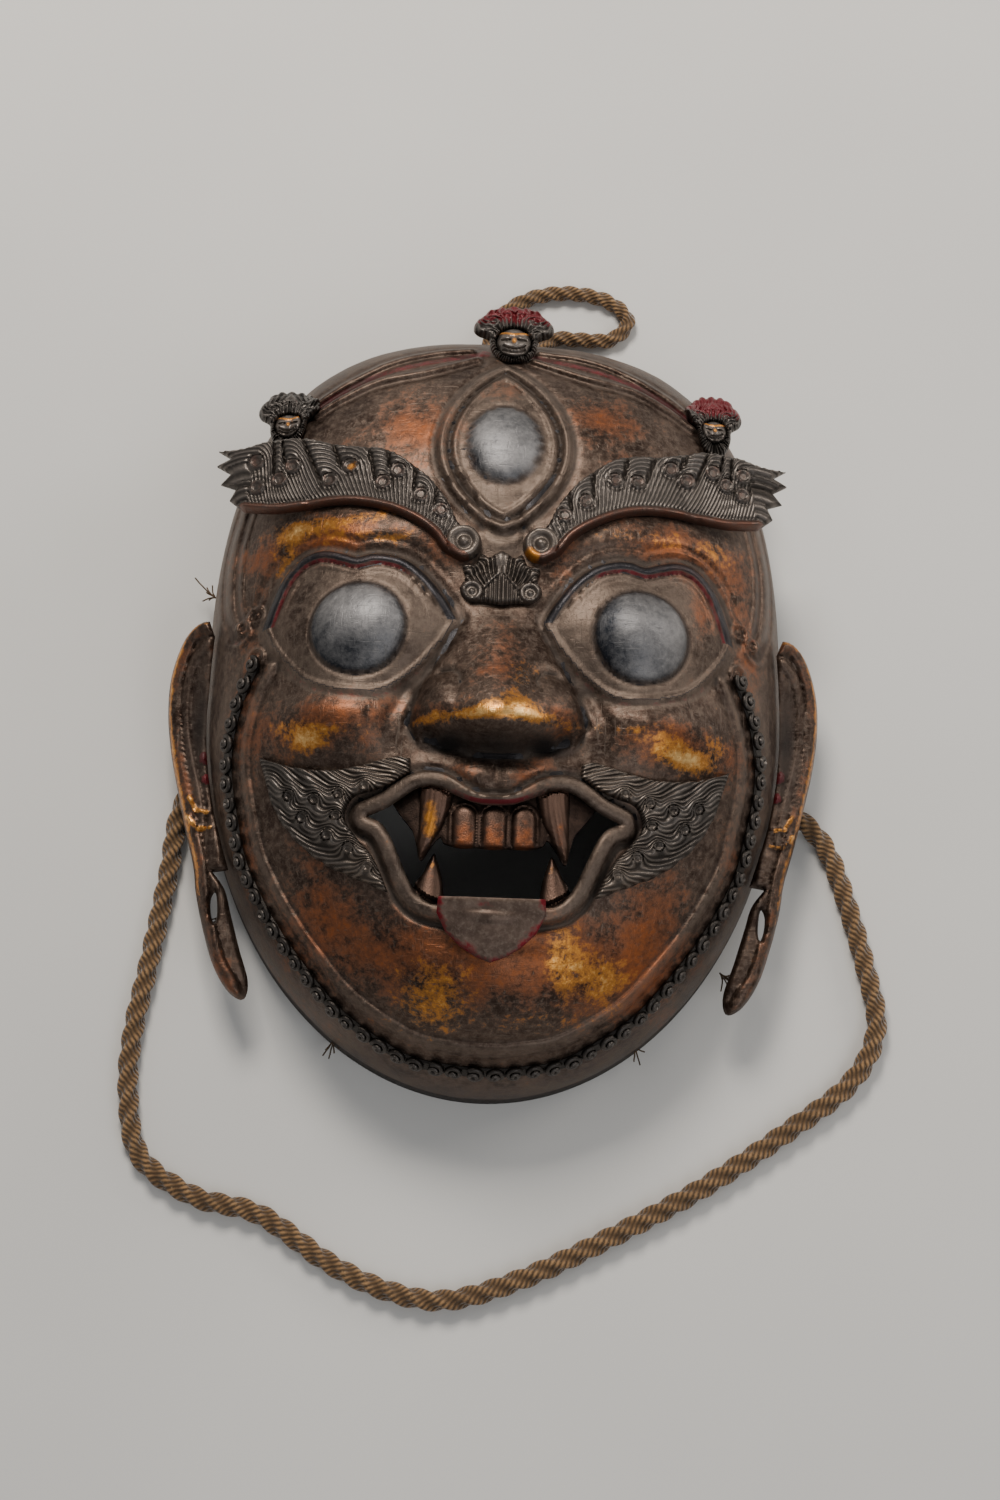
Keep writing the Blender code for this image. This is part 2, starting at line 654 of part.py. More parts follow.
def add_skull(name, centre, width, length, tree, finish):
    """A small skull finial with a fan of flame hair, standing up on the headband."""
    half, tall = width / 2, length / 2
    fan = ((0, 1), (0.28, 0.86), (0.42, 0.97), (0.62, 0.7), (0.86, 0.72), (0.88, 0.44), (1, 0.25), (0.78, 0.02),
           (0.6, -0.2), (0.56, -0.55), (0.34, -0.82), (0.3, -0.97), (0, -1))
    outline = smooth_line(mirrored([(x * half, y * tall) for x, y in fan]), 4.2, closed=True)
    outline = outline + centre

    def thickness(x, y):
        u, v = np.abs(x - centre[0]) / half, (y - centre[1]) / tall
        face = 0.34 * half * np.clip(1 - (u / 0.6) ** 2 - ((v + 0.42) / 0.62) ** 2, 0, 1) ** 0.5
        hair = 0.24 * half * np.clip(1 - (u / 1.05) ** 2 - ((v - 0.45) / 0.62) ** 2, 0, 1) ** 0.5
        pits = 2.4 * np.exp(-((u - 0.26) / 0.14) ** 2 - ((v + 0.3) / 0.14) ** 2)
        locks = 1.1 * np.cos(u * 3 * math.pi) * (v > 0.15)
        return TRIM_SHEET + MM * (1.5 + np.maximum(face, hair) + locks - pits)

    def free(x, y):
        return SKULL_BACK - 0.55 * (y - centre[1])

    eyes = [(centre[0] + s * 0.26 * half, centre[1] - 0.3 * tall) for s in (-1, 1)]
    return trim_piece(name, outline, 5.5, thickness, free, tree, finish, extra=eyes)


SKULL_BACK = 60.0
SKULLS = (("skull_top", (4, 209), 42, 40), ("skull_left", (-110, 158), 32, 40), ("skull_right", (108, 163), 30, 42))
CURL_STATIONS = 3
CURL_COUNT = 2 * CURLS_A_SIDE + 1


def add_curl_band(name, tree, finish):
    """The row of beard curls along the jaw, one body with a swell for each curl."""
    stations = CURL_COUNT * CURL_STATIONS
    length = np.linalg.norm(np.diff(np.array(smooth_line(FULL_CURL_LINE, 3)), axis=0), axis=1).sum()
    line = np.array(smooth_line(FULL_CURL_LINE, length / stations * 1.0001))
    x, y = line.T
    middle = []
    for px, py in real(line):
        skin = surface_along(tree, (px, py, 0), (0, 0, 1))
        middle.append((px, py, skin))
    middle = np.array(middle)
    ways = []
    for place in middle:
        ways.append(tuple(tree.find_nearest(Vector(place))[1]))
    ways = np.array(ways)
    for _ in range(6):
        ways[1:-1] = (ways[:-2] + ways[1:-1] + ways[2:]) / 3
        ways = ways / np.linalg.norm(ways, axis=1, keepdims=True)
    ahead = np.gradient(middle, axis=0)
    across = np.cross(ways, ahead)
    across = across / np.linalg.norm(across, axis=1, keepdims=True)
    swell = 1 - 0.3 * (np.arange(len(middle)) % CURL_STATIONS == 0)
    half = CURL_WIDTH / 2 * swell
    left = middle + across * half[:, None]
    right = middle - across * half[:, None]
    for side in (left, right):
        for k, place in enumerate(side):
            way = tuple(ways[k])
            skin = surface_along(tree, place, way)
            side[k] = place + ways[k] * (skin + SEAT_GAP * 1.5 - place @ ways[k])
    top = (left + right) / 2 + ways * (CURL_HEIGHT * swell)[:, None]
    count = len(middle)
    verts = np.concatenate([left, right, top])
    faces = []
    back = []
    for k in range(count - 1):
        a, b = k, k + 1
        back += [(a, b, b + count), (a, b + count, a + count)]
        faces += [(a + count, b + count, b + 2 * count), (a + count, b + 2 * count, a + 2 * count)]
        faces += [(a + 2 * count, b + 2 * count, b), (a + 2 * count, b, a)]
    last = count - 1
    ends = [(0, count, 2 * count), (last, last + 2 * count, last + count)]
    for _ in range(5):
        worst = 0
        for a, b, c in back:
            for share in ((1 / 3, 1 / 3), (0.5, 0), (0, 0.5), (0.5, 0.5)):
                corner = verts[[a, b, c]]
                place = corner[0] + share[0] * (corner[1] - corner[0]) + share[1] * (corner[2] - corner[0])
                way = ways[a % count]
                short = surface_along(tree, place, tuple(way)) + SEAT_GAP - place @ way
                if short > 0:
                    worst = max(worst, short)
                    for k in (a, b, c):
                        verts[k] += way * short
        if worst < 1e-6:
            break
    return add_object(name, verts, faces + back + ends, finish)


# Ears

EAR_ROOT_HEIGHT = 50.0
EAR_LEAN = 0.7
EAR_DROP = 0.12
EAR_LEAN_FROM = HALF_WIDTH - 13
EAR_FOLD_OUT = ((2, 36), (8, 20), (8, 0), (4, -20), (0, -40))


def ear_back(x, y):
    """Drawn height of the ear's back, which leans away from the face and down to the lobe."""
    return EAR_ROOT_HEIGHT - EAR_LEAN * np.maximum(np.abs(x) - EAR_LEAN_FROM, 0) - EAR_DROP * (46 - y)


def add_ear(name, side, tree, finish):
    """A long-lobed ear whose root stands against the side of the face."""
    root = []
    for y in EAR_ROOT_Y[::-1]:
        guess = HALF_WIDTH - 9
        for _ in range(3):
            height = ear_back(guess, y)
            place = real([[0, y, height]])[0]
            guess = surface_along(tree, place, (side, 0, 0)) * DRAWN[0] / FACE_WIDTH
        root.append((guess + SEAT_GAP / MM, y))
    outer = [p for p in smooth_line(EAR, 8) if p[0] > np.interp(p[1], [r[1] for r in root], [r[0] for r in root]) + 3
             or p[1] < -75]
    outline = flipped(np.array(outer + root), side)
    helix = smooth_line(EAR[1:12], 8)
    fold = [(HALF_WIDTH + out, y) for out, y in EAR_FOLD_OUT]

    def thickness(x, y):
        near = np.abs(x)
        rise = ridge(distance_to(helix, near, y) - 3.5, 5, 3.6) + ridge(distance_to(fold, near, y), 5, 1.8)
        return EAR_SHEET + MM * rise

    crest = [p for p in flipped(offset_line(helix, -3.5)[1:-1], side) if inside(outline, p[:1], p[1:])[0]]
    net, faces = plate_net(outline, 9.5, crest)
    back = real(np.column_stack([net, ear_back(net[:, 0], net[:, 1])]))
    front = back + np.stack([np.zeros(len(back))] * 2 + [thickness(net[:, 0], net[:, 1])], 1)
    verts, walls = closed_wall(front, back, faces)
    verts = seat(verts, walls, tree, (side, 0, 0), SEAT_GAP)
    return add_object(name, verts, walls, finish)


# Mouth parts

UPPER_TEETH = ((0, -47), (9, -46), (17.5, -42.5), (27, -39.5), (40, -42), (49, -49), (46, -56), (41.5, -62),
               (38.6, -66), (36.8, -72), (34.5, -80.5), (29.8, -74), (25.6, -69), (23.4, -72), (16, -74), (8, -74),
               (0, -74.5))
FANG_AXIS = ((29, -46), (32.5, -62), (34.3, -79))
LOWER_FANG = ((28, -75.5), (30.5, -79.5), (33, -85), (37, -91), (37.5, -96), (31, -100.5), (24, -99.5), (23.2, -92),
              (25, -84), (26.5, -79))
TEETH_HEIGHT = 117.0
TEETH_BEND = 0.004
TOOTH_WIDTH = 14.0
LOWER_FANG_HEIGHT = 106.4
LOWER_FANG_AXIS = ((28, -77), (30, -98))
FANG_HALF_WIDTH = 7.5
TONGUE_HEIGHT = 113.0
TONGUE_FALL = 0.3


def under_face(name, outline, step, front_height, bulge, tree, finish, extra=()):
    """A plate behind the open mouth whose edges bear on the inside of the face."""
    net, faces = plate_net(outline, step, extra)
    x, y = net.T
    plain = real(np.column_stack([x, y, front_height(x, y)]))
    raised = MM * bulge(x, y)
    for k, place in enumerate(plain):
        skin = surface_along(tree, tuple(place), (0, 0, -1))
        if skin is not None:
            place[2] = -skin - SEAT_GAP - raised[k]
    front = plain + np.stack([np.zeros(len(plain))] * 2 + [raised], 1)
    front = seat(front, faces, tree, (0, 0, -1), SEAT_GAP, parts=14)
    back = np.minimum(plain, front) - (0, 0, TOOTH_SHEET)
    verts, walls = closed_wall(front, back, faces)
    return add_object(name, verts, walls, finish)


def add_upper_teeth(name, tree, finish):
    """Gum, front teeth and both upper fangs in one plate."""
    outline = smooth_line(mirrored(UPPER_TEETH), 6, closed=True)

    def front_height(x, y):
        return TEETH_HEIGHT - TEETH_BEND * x * x

    def bulge(x, y):
        near = np.abs(x)
        teeth = 2.4 * np.abs(np.cos(x / TOOTH_WIDTH * math.pi)) * (near < 22)
        share = np.clip((-46 - y) / 33, 0, 1)
        fang = ridge(distance_to(FANG_AXIS, near, y), FANG_HALF_WIDTH - 4.5 * share, 7 - 4.5 * share)
        return 0.6 + np.maximum(teeth * ease((-50 - y) / 8), fang)

    spine = [(s * x, y) for x, y in smooth_line(FANG_AXIS, 7) for s in (-1, 1)]
    crowns = [(x, y) for x in (-14, -7, 0, 7, 14) for y in (-58, -66)]
    return under_face(name, outline, 8, front_height, bulge, tree, finish, extra=spine[2:-2] + crowns)


def add_lower_fang(name, side, tree, finish):
    """A lower fang, which stands up from behind the lower lip."""
    outline = flipped(smooth_line(LOWER_FANG, 4.5, closed=True), side)

    def front_height(x, y):
        return np.full(len(x), LOWER_FANG_HEIGHT)

    def bulge(x, y):
        return 0.6 + ridge(distance_to(LOWER_FANG_AXIS, np.abs(x), y), FANG_HALF_WIDTH, 4)

    spine = flipped(smooth_line(LOWER_FANG_AXIS, 7)[1:-1], side)
    return under_face(name, outline, 6, front_height, bulge, tree, finish, extra=spine)


def add_tongue(name, tree, finish):
    """A flat shield-shaped tongue laid over the lower lip."""
    outline = np.array(mirrored(TONGUE))

    def thickness(x, y):
        return np.full(len(x), TONGUE_SHEET)

    def free(x, y):
        return TONGUE_HEIGHT + TONGUE_FALL * (y - TONGUE[0][1])

    return trim_piece(name, outline, 11, thickness, free, tree, finish)


# Ropes, with their holes and stopper knots; their plan stretches with the face

HOLE_HEIGHT = 9.5
HOLE_LENGTH = 0.03
ROPE_HOLE = (149, -22.8)
ROPE_WAY = (0.77, 0.64)
ROPE_ROUTE = (
    (-136, -12, 9.5), (-149, -22.8, 9.5), (-157.5, -32, 8), (-161.5, -46, 6.3), (-164, -70, 5.6), (-171, -115, 5.6),
    (-177, -150, 5.6), (-178, -181, 5.6), (-170, -214, 5.6), (-142, -233, 5.6), (-109, -241, 5.6), (-73, -264, 5.6),
    (-42, -277, 5.6), (-13, -280, 5.6), (22, -269, 5.6), (61, -250, 5.6), (111, -222, 5.6), (156, -191, 5.6),
    (187, -166, 5.6), (200, -139, 5.6), (195, -108, 5.6), (183, -67, 5.6), (174, -45, 6), (162, -32, 8),
    (149, -22.8, 9.5), (136, -12, 9.5))
LOOP_HOLES = (-8, 20)
LOOP_ROUTE = (
    (-8, 207, 7), (-8, 219, 7), (-7, 231, 6), (0, 246, 4.6), (16, 256, 4.35), (36, 259, 4.35), (56, 255, 4.35),
    (67, 244, 4.35), (58, 233, 4.35), (42, 232, 4.8), (28, 231.5, 6), (20.5, 225, 7), (20, 216, 7), (20, 207, 7))


def add_rope(name, route, diameter, finish):
    """A rope as a round tube along the smooth curve through its route."""
    line = smooth_line(on_floor(route), 2.1 * diameter)
    curve = bpy.data.curves.new(name, "CURVE")
    curve.dimensions = "3D"
    curve.bevel_depth = diameter / 2
    curve.bevel_resolution = 2
    curve.use_fill_caps = True
    spline = curve.splines.new("POLY")
    spline.points.add(len(line) - 1)
    for point, place in zip(spline.points, line):
        point.co = (*place, 1)
    curve.materials.append(finish)
    placed = bpy.data.objects.new(name, curve)
    bpy.context.scene.collection.objects.link(placed)
    return placed


def add_knot(name, at, radii, finish):
    """A stopper knot as a rounded lump."""
    made = bmesh.new()
    bmesh.ops.create_uvsphere(made, u_segments=10, v_segments=6, radius=1)
    bmesh.ops.triangulate(made, faces=made.faces[:])
    for vert in made.verts:
        vert.co = Vector(at) + Vector(radii) * vert.co
    mesh = bpy.data.meshes.new(name)
    made.to_mesh(mesh)
    made.free()
    mesh.materials.append(finish)
    mesh.shade_smooth()
    placed = bpy.data.objects.new(name, mesh)
    bpy.context.scene.collection.objects.link(placed)
    return placed


def add_ropes(face, finish):
    """The carrying rope and the hanging loop, their knots and the holes they pass."""
    for side, name, start in ((-1, "left", ROPE_ROUTE[0]), (1, "right", ROPE_ROUTE[-1])):
        at = on_floor((side * ROPE_HOLE[0], ROPE_HOLE[1], HOLE_HEIGHT))
        along = Vector((side * ROPE_WAY[0], -ROPE_WAY[1], 0))
        radius = ROPE_DIAMETER / 2 + HOLE_CLEARANCE
        cut_with(face, hole_cutter(f"rope_hole_{name}", at, along, radius, HOLE_LENGTH))
        centre = Vector(on_floor(start)) - along * (KNOT_DIAMETER / 2 + SEAT_GAP)
        centre.z = KNOT_DIAMETER / 2
        add_knot(f"rope_knot_{name}", centre, [KNOT_DIAMETER / 2] * 3, finish)
    for count, x in enumerate(LOOP_HOLES):
        at = on_floor((x, CROWN_REACH + FACE_CENTRE_Y, LOOP_ROUTE[0][2]))
        radius = LOOP_DIAMETER / 2 + HOLE_CLEARANCE
        cut_with(face, hole_cutter(f"loop_hole_{count}", at, (0, 1, 0), radius, HOLE_LENGTH))
    depth = LOOP_DIAMETER
    middle = Vector(on_floor((sum(LOOP_HOLES) / 2, LOOP_ROUTE[0][1], 0)))
    middle += Vector((0, -depth - SEAT_GAP, depth + SEAT_GAP))
    add_knot("loop_knot", middle, (LOOP_KNOT_LENGTH / 2, depth, depth), finish)
    add_rope("carry_rope", ROPE_ROUTE, ROPE_DIAMETER, finish)
    add_rope("hanging_loop", LOOP_ROUTE, LOOP_DIAMETER, finish)


def centre_on_origin(free_names):
    """Slide the whole mask along Y until its outline, ropes apart, is centred on the origin."""
    bpy.context.view_layer.update()
    reach = []
    for placed in bpy.context.scene.objects:
        if placed.type == "MESH" and not placed.hide_render and placed.name not in free_names:
            reach += [(placed.matrix_world @ vert.co).y for vert in placed.data.vertices]
    slide = -(min(reach) + max(reach)) / 2
    for placed in bpy.context.scene.objects:
        placed.location.y += slide
    print("slide", round(slide, 6))


def main():
    for placed in list(bpy.data.objects):
        bpy.data.objects.remove(placed)
    copper = material("worn_gilt_copper", (0.19, 0.09, 0.05), 0.45, 0.9)
    dark = material("blackened_copper", (0.05, 0.045, 0.045), 0.4, 0.8)
    horn = material("rubbed_copper_teeth", (0.22, 0.12, 0.08), 0.45, 0.8)
    fibre = material("hemp_rope", (0.25, 0.16, 0.09), 0.9, 0.0)

    outer, inner, faces = face_skin()
    verts, walls = closed_wall(outer, inner, faces)
    face = add_object("face_shell", verts, walls, copper)
    tree = BVHTree.FromPolygons([tuple(v) for v in verts], walls)

    add_brow("brow_left", -1, tree, dark)
    add_brow("brow_right", 1, tree, dark)
    add_moustache("moustache_left", -1, tree, dark)
    add_moustache("moustache_right", 1, tree, dark)
    add_crest("nose_crest", tree, dark)
    for name, centre, width, length in SKULLS:
        add_skull(name, centre, width, length, tree, dark)
    add_curl_band("beard_curl_band", tree, dark)
    add_ear("ear_left", -1, tree, copper)
    add_ear("ear_right", 1, tree, copper)
    add_upper_teeth("upper_teeth", tree, horn)
    add_lower_fang("lower_fang_left", -1, tree, horn)
    add_lower_fang("lower_fang_right", 1, tree, horn)
    add_tongue("tongue", tree, dark)
    add_ropes(face, fibre)
    centre_on_origin(("carry_rope", "hanging_loop", "rope_knot_left", "rope_knot_right", "loop_knot"))


main()
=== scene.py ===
"""Looks of a ritual mask of raised sheet copper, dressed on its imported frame.

Relief is drawn in millimetres on the plan of the face: x to the viewer's right, y to the crown,
z the way the face looks. `placed` turns drawn places into metres in the frame.
"""

import math
import time

import bpy
import numpy as np
from bpy.props import FloatProperty, FloatVectorProperty, PointerProperty
from bpy.types import Operator, Panel, PropertyGroup
from mathutils import Matrix, Vector
from mathutils.bvhtree import BVHTree
from mathutils.geometry import delaunay_2d_cdt


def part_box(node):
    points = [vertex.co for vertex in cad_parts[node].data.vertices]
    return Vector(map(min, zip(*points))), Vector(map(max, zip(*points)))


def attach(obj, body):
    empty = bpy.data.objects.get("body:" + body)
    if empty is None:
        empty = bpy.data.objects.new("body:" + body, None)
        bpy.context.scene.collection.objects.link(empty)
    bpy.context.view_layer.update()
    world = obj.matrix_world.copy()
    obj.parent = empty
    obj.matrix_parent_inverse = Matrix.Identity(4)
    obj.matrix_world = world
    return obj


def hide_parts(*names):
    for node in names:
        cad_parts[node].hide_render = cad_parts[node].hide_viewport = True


bl_info = {
    "name": "Ritual mask",
    "version": (1, 0, 0),
    "blender": (4, 5, 0),
    "location": "3D View > Sidebar > Mask",
    "description": "Dresses the mask frame with chased relief, patina, trim and rope",
    "category": "Object",
}

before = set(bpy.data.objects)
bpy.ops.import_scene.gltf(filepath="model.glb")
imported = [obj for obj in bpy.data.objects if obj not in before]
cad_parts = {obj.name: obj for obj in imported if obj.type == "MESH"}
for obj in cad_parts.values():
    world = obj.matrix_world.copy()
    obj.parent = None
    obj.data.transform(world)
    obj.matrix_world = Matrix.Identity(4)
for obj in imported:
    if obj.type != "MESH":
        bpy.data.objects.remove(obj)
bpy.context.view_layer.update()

MM = 0.001
BODY = "root"
SEAT_GAP = 0.3
SKIN_GAP = 0.25
RAY_START = 400
SIDES = ((-1, "left"), (1, "right"))

# Plan of the rim and swell of the dome, as in the frame
FACE_CENTRE_Y = 12.0
HALF_WIDTH = 149.0
CROWN_REACH = 207.0
CHIN_REACH = 194.0
CROWN_SQUARE = 2.8
JAW_SQUARE = 2.0
DOME_SQUARE = 2.5
DOME_HEIGHT = 112.0
FLAT_STRETCH = 1.25
RELIEF_FADE = 45
FRAME_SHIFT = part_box("face_shell")[0][1] / MM + CHIN_REACH - FACE_CENTRE_Y

SWELLINGS = (
    (0, 128, 85, 55, 8),
    (66, 84, 48, 14, 6),
    (80, -12, 30, 20, 16),
    (0, -62, 58, 38, 14),
    (0, -132, 60, 30, 12),
    (69, 34, 36, 27, 14),
    (0, -38, 20, 9, 4),
)

# Outlines of the right half of the face
EYE_UPPER = ((22.8, 37), (29, 47.5), (37, 57.8), (46, 65.3), (55, 68.6), (63, 69.2), (70.5, 67.6), (78, 70),
             (88, 72.6), (97, 70.4), (104.8, 62.8), (110, 51.5), (114.5, 38.5))
EYE_LOWER = (
    (114.5, 38.5), (109.5, 28.5), (102.5, 18.8), (91, 7.6), (75, 1.6), (57, 2.2), (42, 12.5), (30.5, 25.5),
    (22.8, 37),
)
IRIS_AT = (68.7, 32.5)
UPPER_LID_FROM = 38
IRIS_RADIUS = 23.0
IRIS_RISE = 6.0
LEDGE_AWAY = 8.2
THIRD_EYE = ((0, 184), (10, 176), (20, 164), (27, 151), (31, 136), (30, 121), (24, 107), (14, 95), (5, 88.5),
             (0, 86))
THIRD_IRIS_AT = (0, 132.5)
THIRD_IRIS_RADIUS = 19.5
# Plan width and length of the third iris against its radius, since the forehead slopes away
THIRD_IRIS_WIDE = 0.92
THIRD_IRIS_LONG = 1.14
EYE_CURLS = (((120.5, 47.5), 3.9), ((127.6, 43), 3.0), ((119.5, 25.5), 3.8))
MOUTH_UPPER = (
    (0, -54.5), (10, -53.6), (19, -50), (26, -46.6), (32, -45.4), (38, -46.8), (44, -50.6), (51, -55),
    (60.5, -58.6),
)
MOUTH_LOWER = (
    (60.5, -58.6), (54.5, -61.6), (50.2, -66.8), (46.6, -74), (43, -82), (40, -88.5), (35.5, -94.8),
    (26, -99.6), (0, -102),
)
LIP_ROLL = 8.0
NOSE_RISE = 36.0
NOSE_PROFILE = ((48, 0), (40, 4), (28, 12), (14, 21), (2, 29), (-8, 34.5), (-14, NOSE_RISE), (-19, 34),
                (-23.5, 25.5), (-27, 12), (-30, 0))
NOSE_PLAN = ((47, 14), (30, 22), (15, 31), (3, 38), (-8, 42), (-16, 42.5), (-24, 38), (-29, 32))
NOSE_UNDERCUT = 3.5
NOSE_WING = ((31, -4), 10.5, 13.5, 4.2)
NOSE_HOOK = (
    (18.5, 2.5), (18.6, 6.5), (21, 9.8), (25.2, 11), (30.7, 8.4), (36.5, 1.4), (41.2, -6.6), (43.4, -13),
)
NOSTRIL = ((15.5, -26), (24, -25.2), (33.5, -21.5))
# Line, half width and height of the soft folds, and size, seed and height of the waviness left by beating
FOLD_LINES = (
    (((44, 4), (53, -12), (51, -27)), 3.5, -1.8),
    (((8, 92), (12, 84), (9, 72)), 2.4, -1.6),
    (((0, 92), (0, 78)), 4, 1.2),
)
BEATEN_WAVES = ((42, 3, 0.4), (13, 5, 0.16), (6, 9, 0.05))
HEADBAND_LINES = (
    ((15, 191), (41, 180.5), (65, 175), (84, 165.5), (96, 158.3)),
    ((18, 200), (37, 197), (58, 190), (83, 175.5), (97, 165)),
)
TEMPLE_LINE = ((118, 136), (127, 120), (133, 100), (136, 80), (135, 57), (130, 40))
CURL_LINE = ((119.7, 21), (127.2, 4), (131.3, -16), (131, -33), (127, -54), (122.5, -72), (115, -88),
             (107, -102), (93.5, -121), (71, -146), (41, -165), (19, -170.5), (0, -172))
BROW_UPPER = (
    (144, 135), (132, 135), (118, 137), (101.7, 137), (86, 134), (70, 131.5), (57, 128.5), (45, 120),
    (34.8, 110.3), (27.2, 99.6), (23.2, 90.5), (20.5, 86.3),
)
BROW_LOWER = ((129, 101), (115, 98.5), (102.6, 98.5), (87.2, 99.5), (72.5, 98.5), (57.7, 94.5), (45, 88),
              (34.8, 80.7), (28.5, 73), (20, 68.3))
BROW_FREE_HEIGHT = ((20, 100), (100, 92), (118, 85), (130, 79), (146, 72))
MOUSTACHE_UPPER = ((115.3, -26), (108.5, -29.5), (95.7, -34), (81.2, -36.2), (68.6, -35.3), (57, -32.7),
                   (48, -30.4), (41, -31.5))
MOUSTACHE_LOWER = ((49.6, -94), (60.2, -89), (71, -84.2), (83.6, -77.2), (95.8, -66.4), (104.7, -54.3),
                   (110.5, -41))
MOUSTACHE_INNER = ((41, -38), (50, -43.5), (58, -46.5), (68, -49.5), (71.5, -58.8), (65.5, -68.5), (58, -77),
                   (53, -86))
EAR = (
    (138, 47), (144, 53), (152, 53.5), (160, 46), (166, 29), (167, 10), (164.5, -10), (160, -30),
    (154.5, -52), (149.5, -70), (147.5, -84), (143, -102), (137, -120), (129, -133), (121, -137),
    (119, -128), (124, -112), (129, -95), (132.5, -83), (139, -74),
)

CREST = (
    (0, 74), (6, 71), (10, 72.5), (13, 67), (18.8, 66), (17.5, 60), (20, 54), (15.5, 48.5), (7, 48),
    (0, 47),
)
UPPER_TEETH = (
    (0, -47), (9, -46), (17.5, -42.5), (27, -39.5), (40, -42), (49, -49), (46, -56), (41.5, -62),
    (38.6, -66), (36.8, -72), (34.5, -80.5), (29.8, -74), (25.6, -69), (23.4, -72), (16, -74), (8, -74),
    (0, -74.5),
)
FANG_AXIS = ((27.5, -45), (28.6, -56), (31, -67), (34.4, -78.5))
LOWER_FANG = (
    (28, -75.5), (30.5, -79.5), (33, -85), (37, -91), (37.5, -96), (31, -100.5), (24, -99.5), (23.2, -92),
    (25, -84), (26.5, -79),
)
TEETH_HEIGHT = 117.0
TEETH_BEND = 0.004
TOOTH_WIDTH = 14.3
TOOTH_TOP = -54.5
# Name, middle, width, length and share of red lacquer left on the hair
SKULLS = (
    ("skull_top", (4, 209), 42, 40, 0.72),
    ("skull_left", (-110, 158), 32, 40, 0.2),
    ("skull_right", (108, 163), 30, 42, 0.9),
)


# Lines and fields on the plan of the face

def smooth_line(points, spacing, closed=False):
    """Points about `spacing` apart on the Catmull-Rom curve through `points`."""
    ring = [np.array(p, float) for p in points]
    if closed:
        ring = [ring[-1]] + ring + ring[:2]
    else:
        ring = [2 * ring[0] - ring[1]] + ring + [2 * ring[-1] - ring[-2]]
    dense = []
    for p, q, r, s in zip(ring, ring[1:], ring[2:], ring[3:]):
        for t in np.linspace(0, 1, 12, endpoint=False):
            dense.append(0.5 * (2 * q + (r - p) * t + (2 * p - 5 * q + 4 * r - s) * t * t
                                + (3 * q - p - 3 * r + s) * t ** 3))
    dense.append(ring[-2])
    dense = np.array(dense)
    along = np.concatenate([[0], np.cumsum(np.linalg.norm(np.diff(dense, axis=0), axis=1))])
    count = max(2, round(along[-1] / spacing))
    places = np.linspace(0, along[-1], count + 1)
    line = np.stack([np.interp(places, along, dense[:, k]) for k in range(dense.shape[1])], 1)
    return line[:-1] if closed else line


def rippled(line, spacing, wave, depth):
    """A line whose points lie `spacing` apart, scalloped to its right side by `depth`."""
    ahead = np.gradient(line, axis=0)
    outward = np.stack([ahead[:, 1], -ahead[:, 0]], 1) / np.linalg.norm(ahead, axis=1, keepdims=True)
    ripple = depth * np.abs(np.sin(np.arange(len(line)) * spacing / wave * math.pi))
    return line + outward * ripple[:, None]


def mirrored(half):
    """A closed outline from its right half, which starts and ends on the middle line."""
    half = [tuple(p) for p in half]
    return half + [(-x, y) for x, y in half[::-1] if x > 0.01]


def both_sides(half):
    """A line across the face from its right half, which starts on the middle line."""
    return [(-x, y) for x, y in half[:0:-1]] + list(half)


def cornered(first, second, spacing):
    """A closed line from two open ones that meet in points at both ends."""
    return np.concatenate([smooth_line(first, spacing)[:-1], smooth_line(second, spacing)[:-1]])


def swirled(x, y, centres, reach, turn):
    """Places turned round each centre, most in its middle and above it, so that lines through them curl."""
    for at_x, at_y in centres:
        dx, dy = x - at_x, y - at_y
        share = 0.3 + 0.7 * ease((dy + reach / 2) / reach)
        twist = turn * np.exp(-(dx * dx + dy * dy) / reach ** 2) * share
        x = at_x + dx * np.cos(twist) - dy * np.sin(twist)
        y = at_y + dx * np.sin(twist) + dy * np.cos(twist)
    return x, y


def nearest_on(line, x, y, closed=False):
    """Distance to a line of points, length along it, and the side on which each place lies."""
    ends = np.array(line, float)
    starts = ends if closed else ends[:-1]
    ends = np.roll(ends, -1, axis=0) if closed else ends[1:]
    best = np.full(np.shape(x), 1e9)
    along = np.zeros(np.shape(x))
    side = np.ones(np.shape(x))
    run = 0.0
    for (ax, ay), (bx, by) in zip(starts, ends):
        dx, dy = bx - ax, by - ay
        span = max(dx * dx + dy * dy, 1e-9)
        t = np.clip(((x - ax) * dx + (y - ay) * dy) / span, 0, 1)
        away = np.hypot(x - ax - t * dx, y - ay - t * dy)
        closer = away < best
        best = np.where(closer, away, best)
        along = np.where(closer, run + t * math.sqrt(span), along)
        side = np.where(closer, np.sign(dx * (y - ay) - dy * (x - ax)), side)
        run += math.sqrt(span)
    return best, along, side


def distance_to(line, x, y, closed=False):
    """Distance from each place to a line of points."""
    return nearest_on(line, x, y, closed)[0]


def inside(line, x, y):
    """Whether each place lies inside a closed line."""
    within = np.zeros(np.shape(x), bool)
    points = np.array(line, float)
    for (ax, ay), (bx, by) in zip(points, np.roll(points, -1, axis=0)):
        if ay == by:
            continue
        crosses = (ay > y) != (by > y)
        within ^= crosses & (x < (bx - ax) * (y - ay) / (by - ay) + ax)
    return within


def signed_distance(line, x, y):
    """Distance to a closed line, negative inside it."""
    away = distance_to(line, x, y, closed=True)
    return np.where(inside(line, x, y), -away, away)


def ease(t):
    """A smooth step from 0 to 1."""
    t = np.clip(t, 0, 1)
    return t * t * (3 - 2 * t)


def soft(away, wide):
    """A soft ridge of height 1 on a line, from the distance to it."""
    return np.exp(-(away / wide) ** 2)


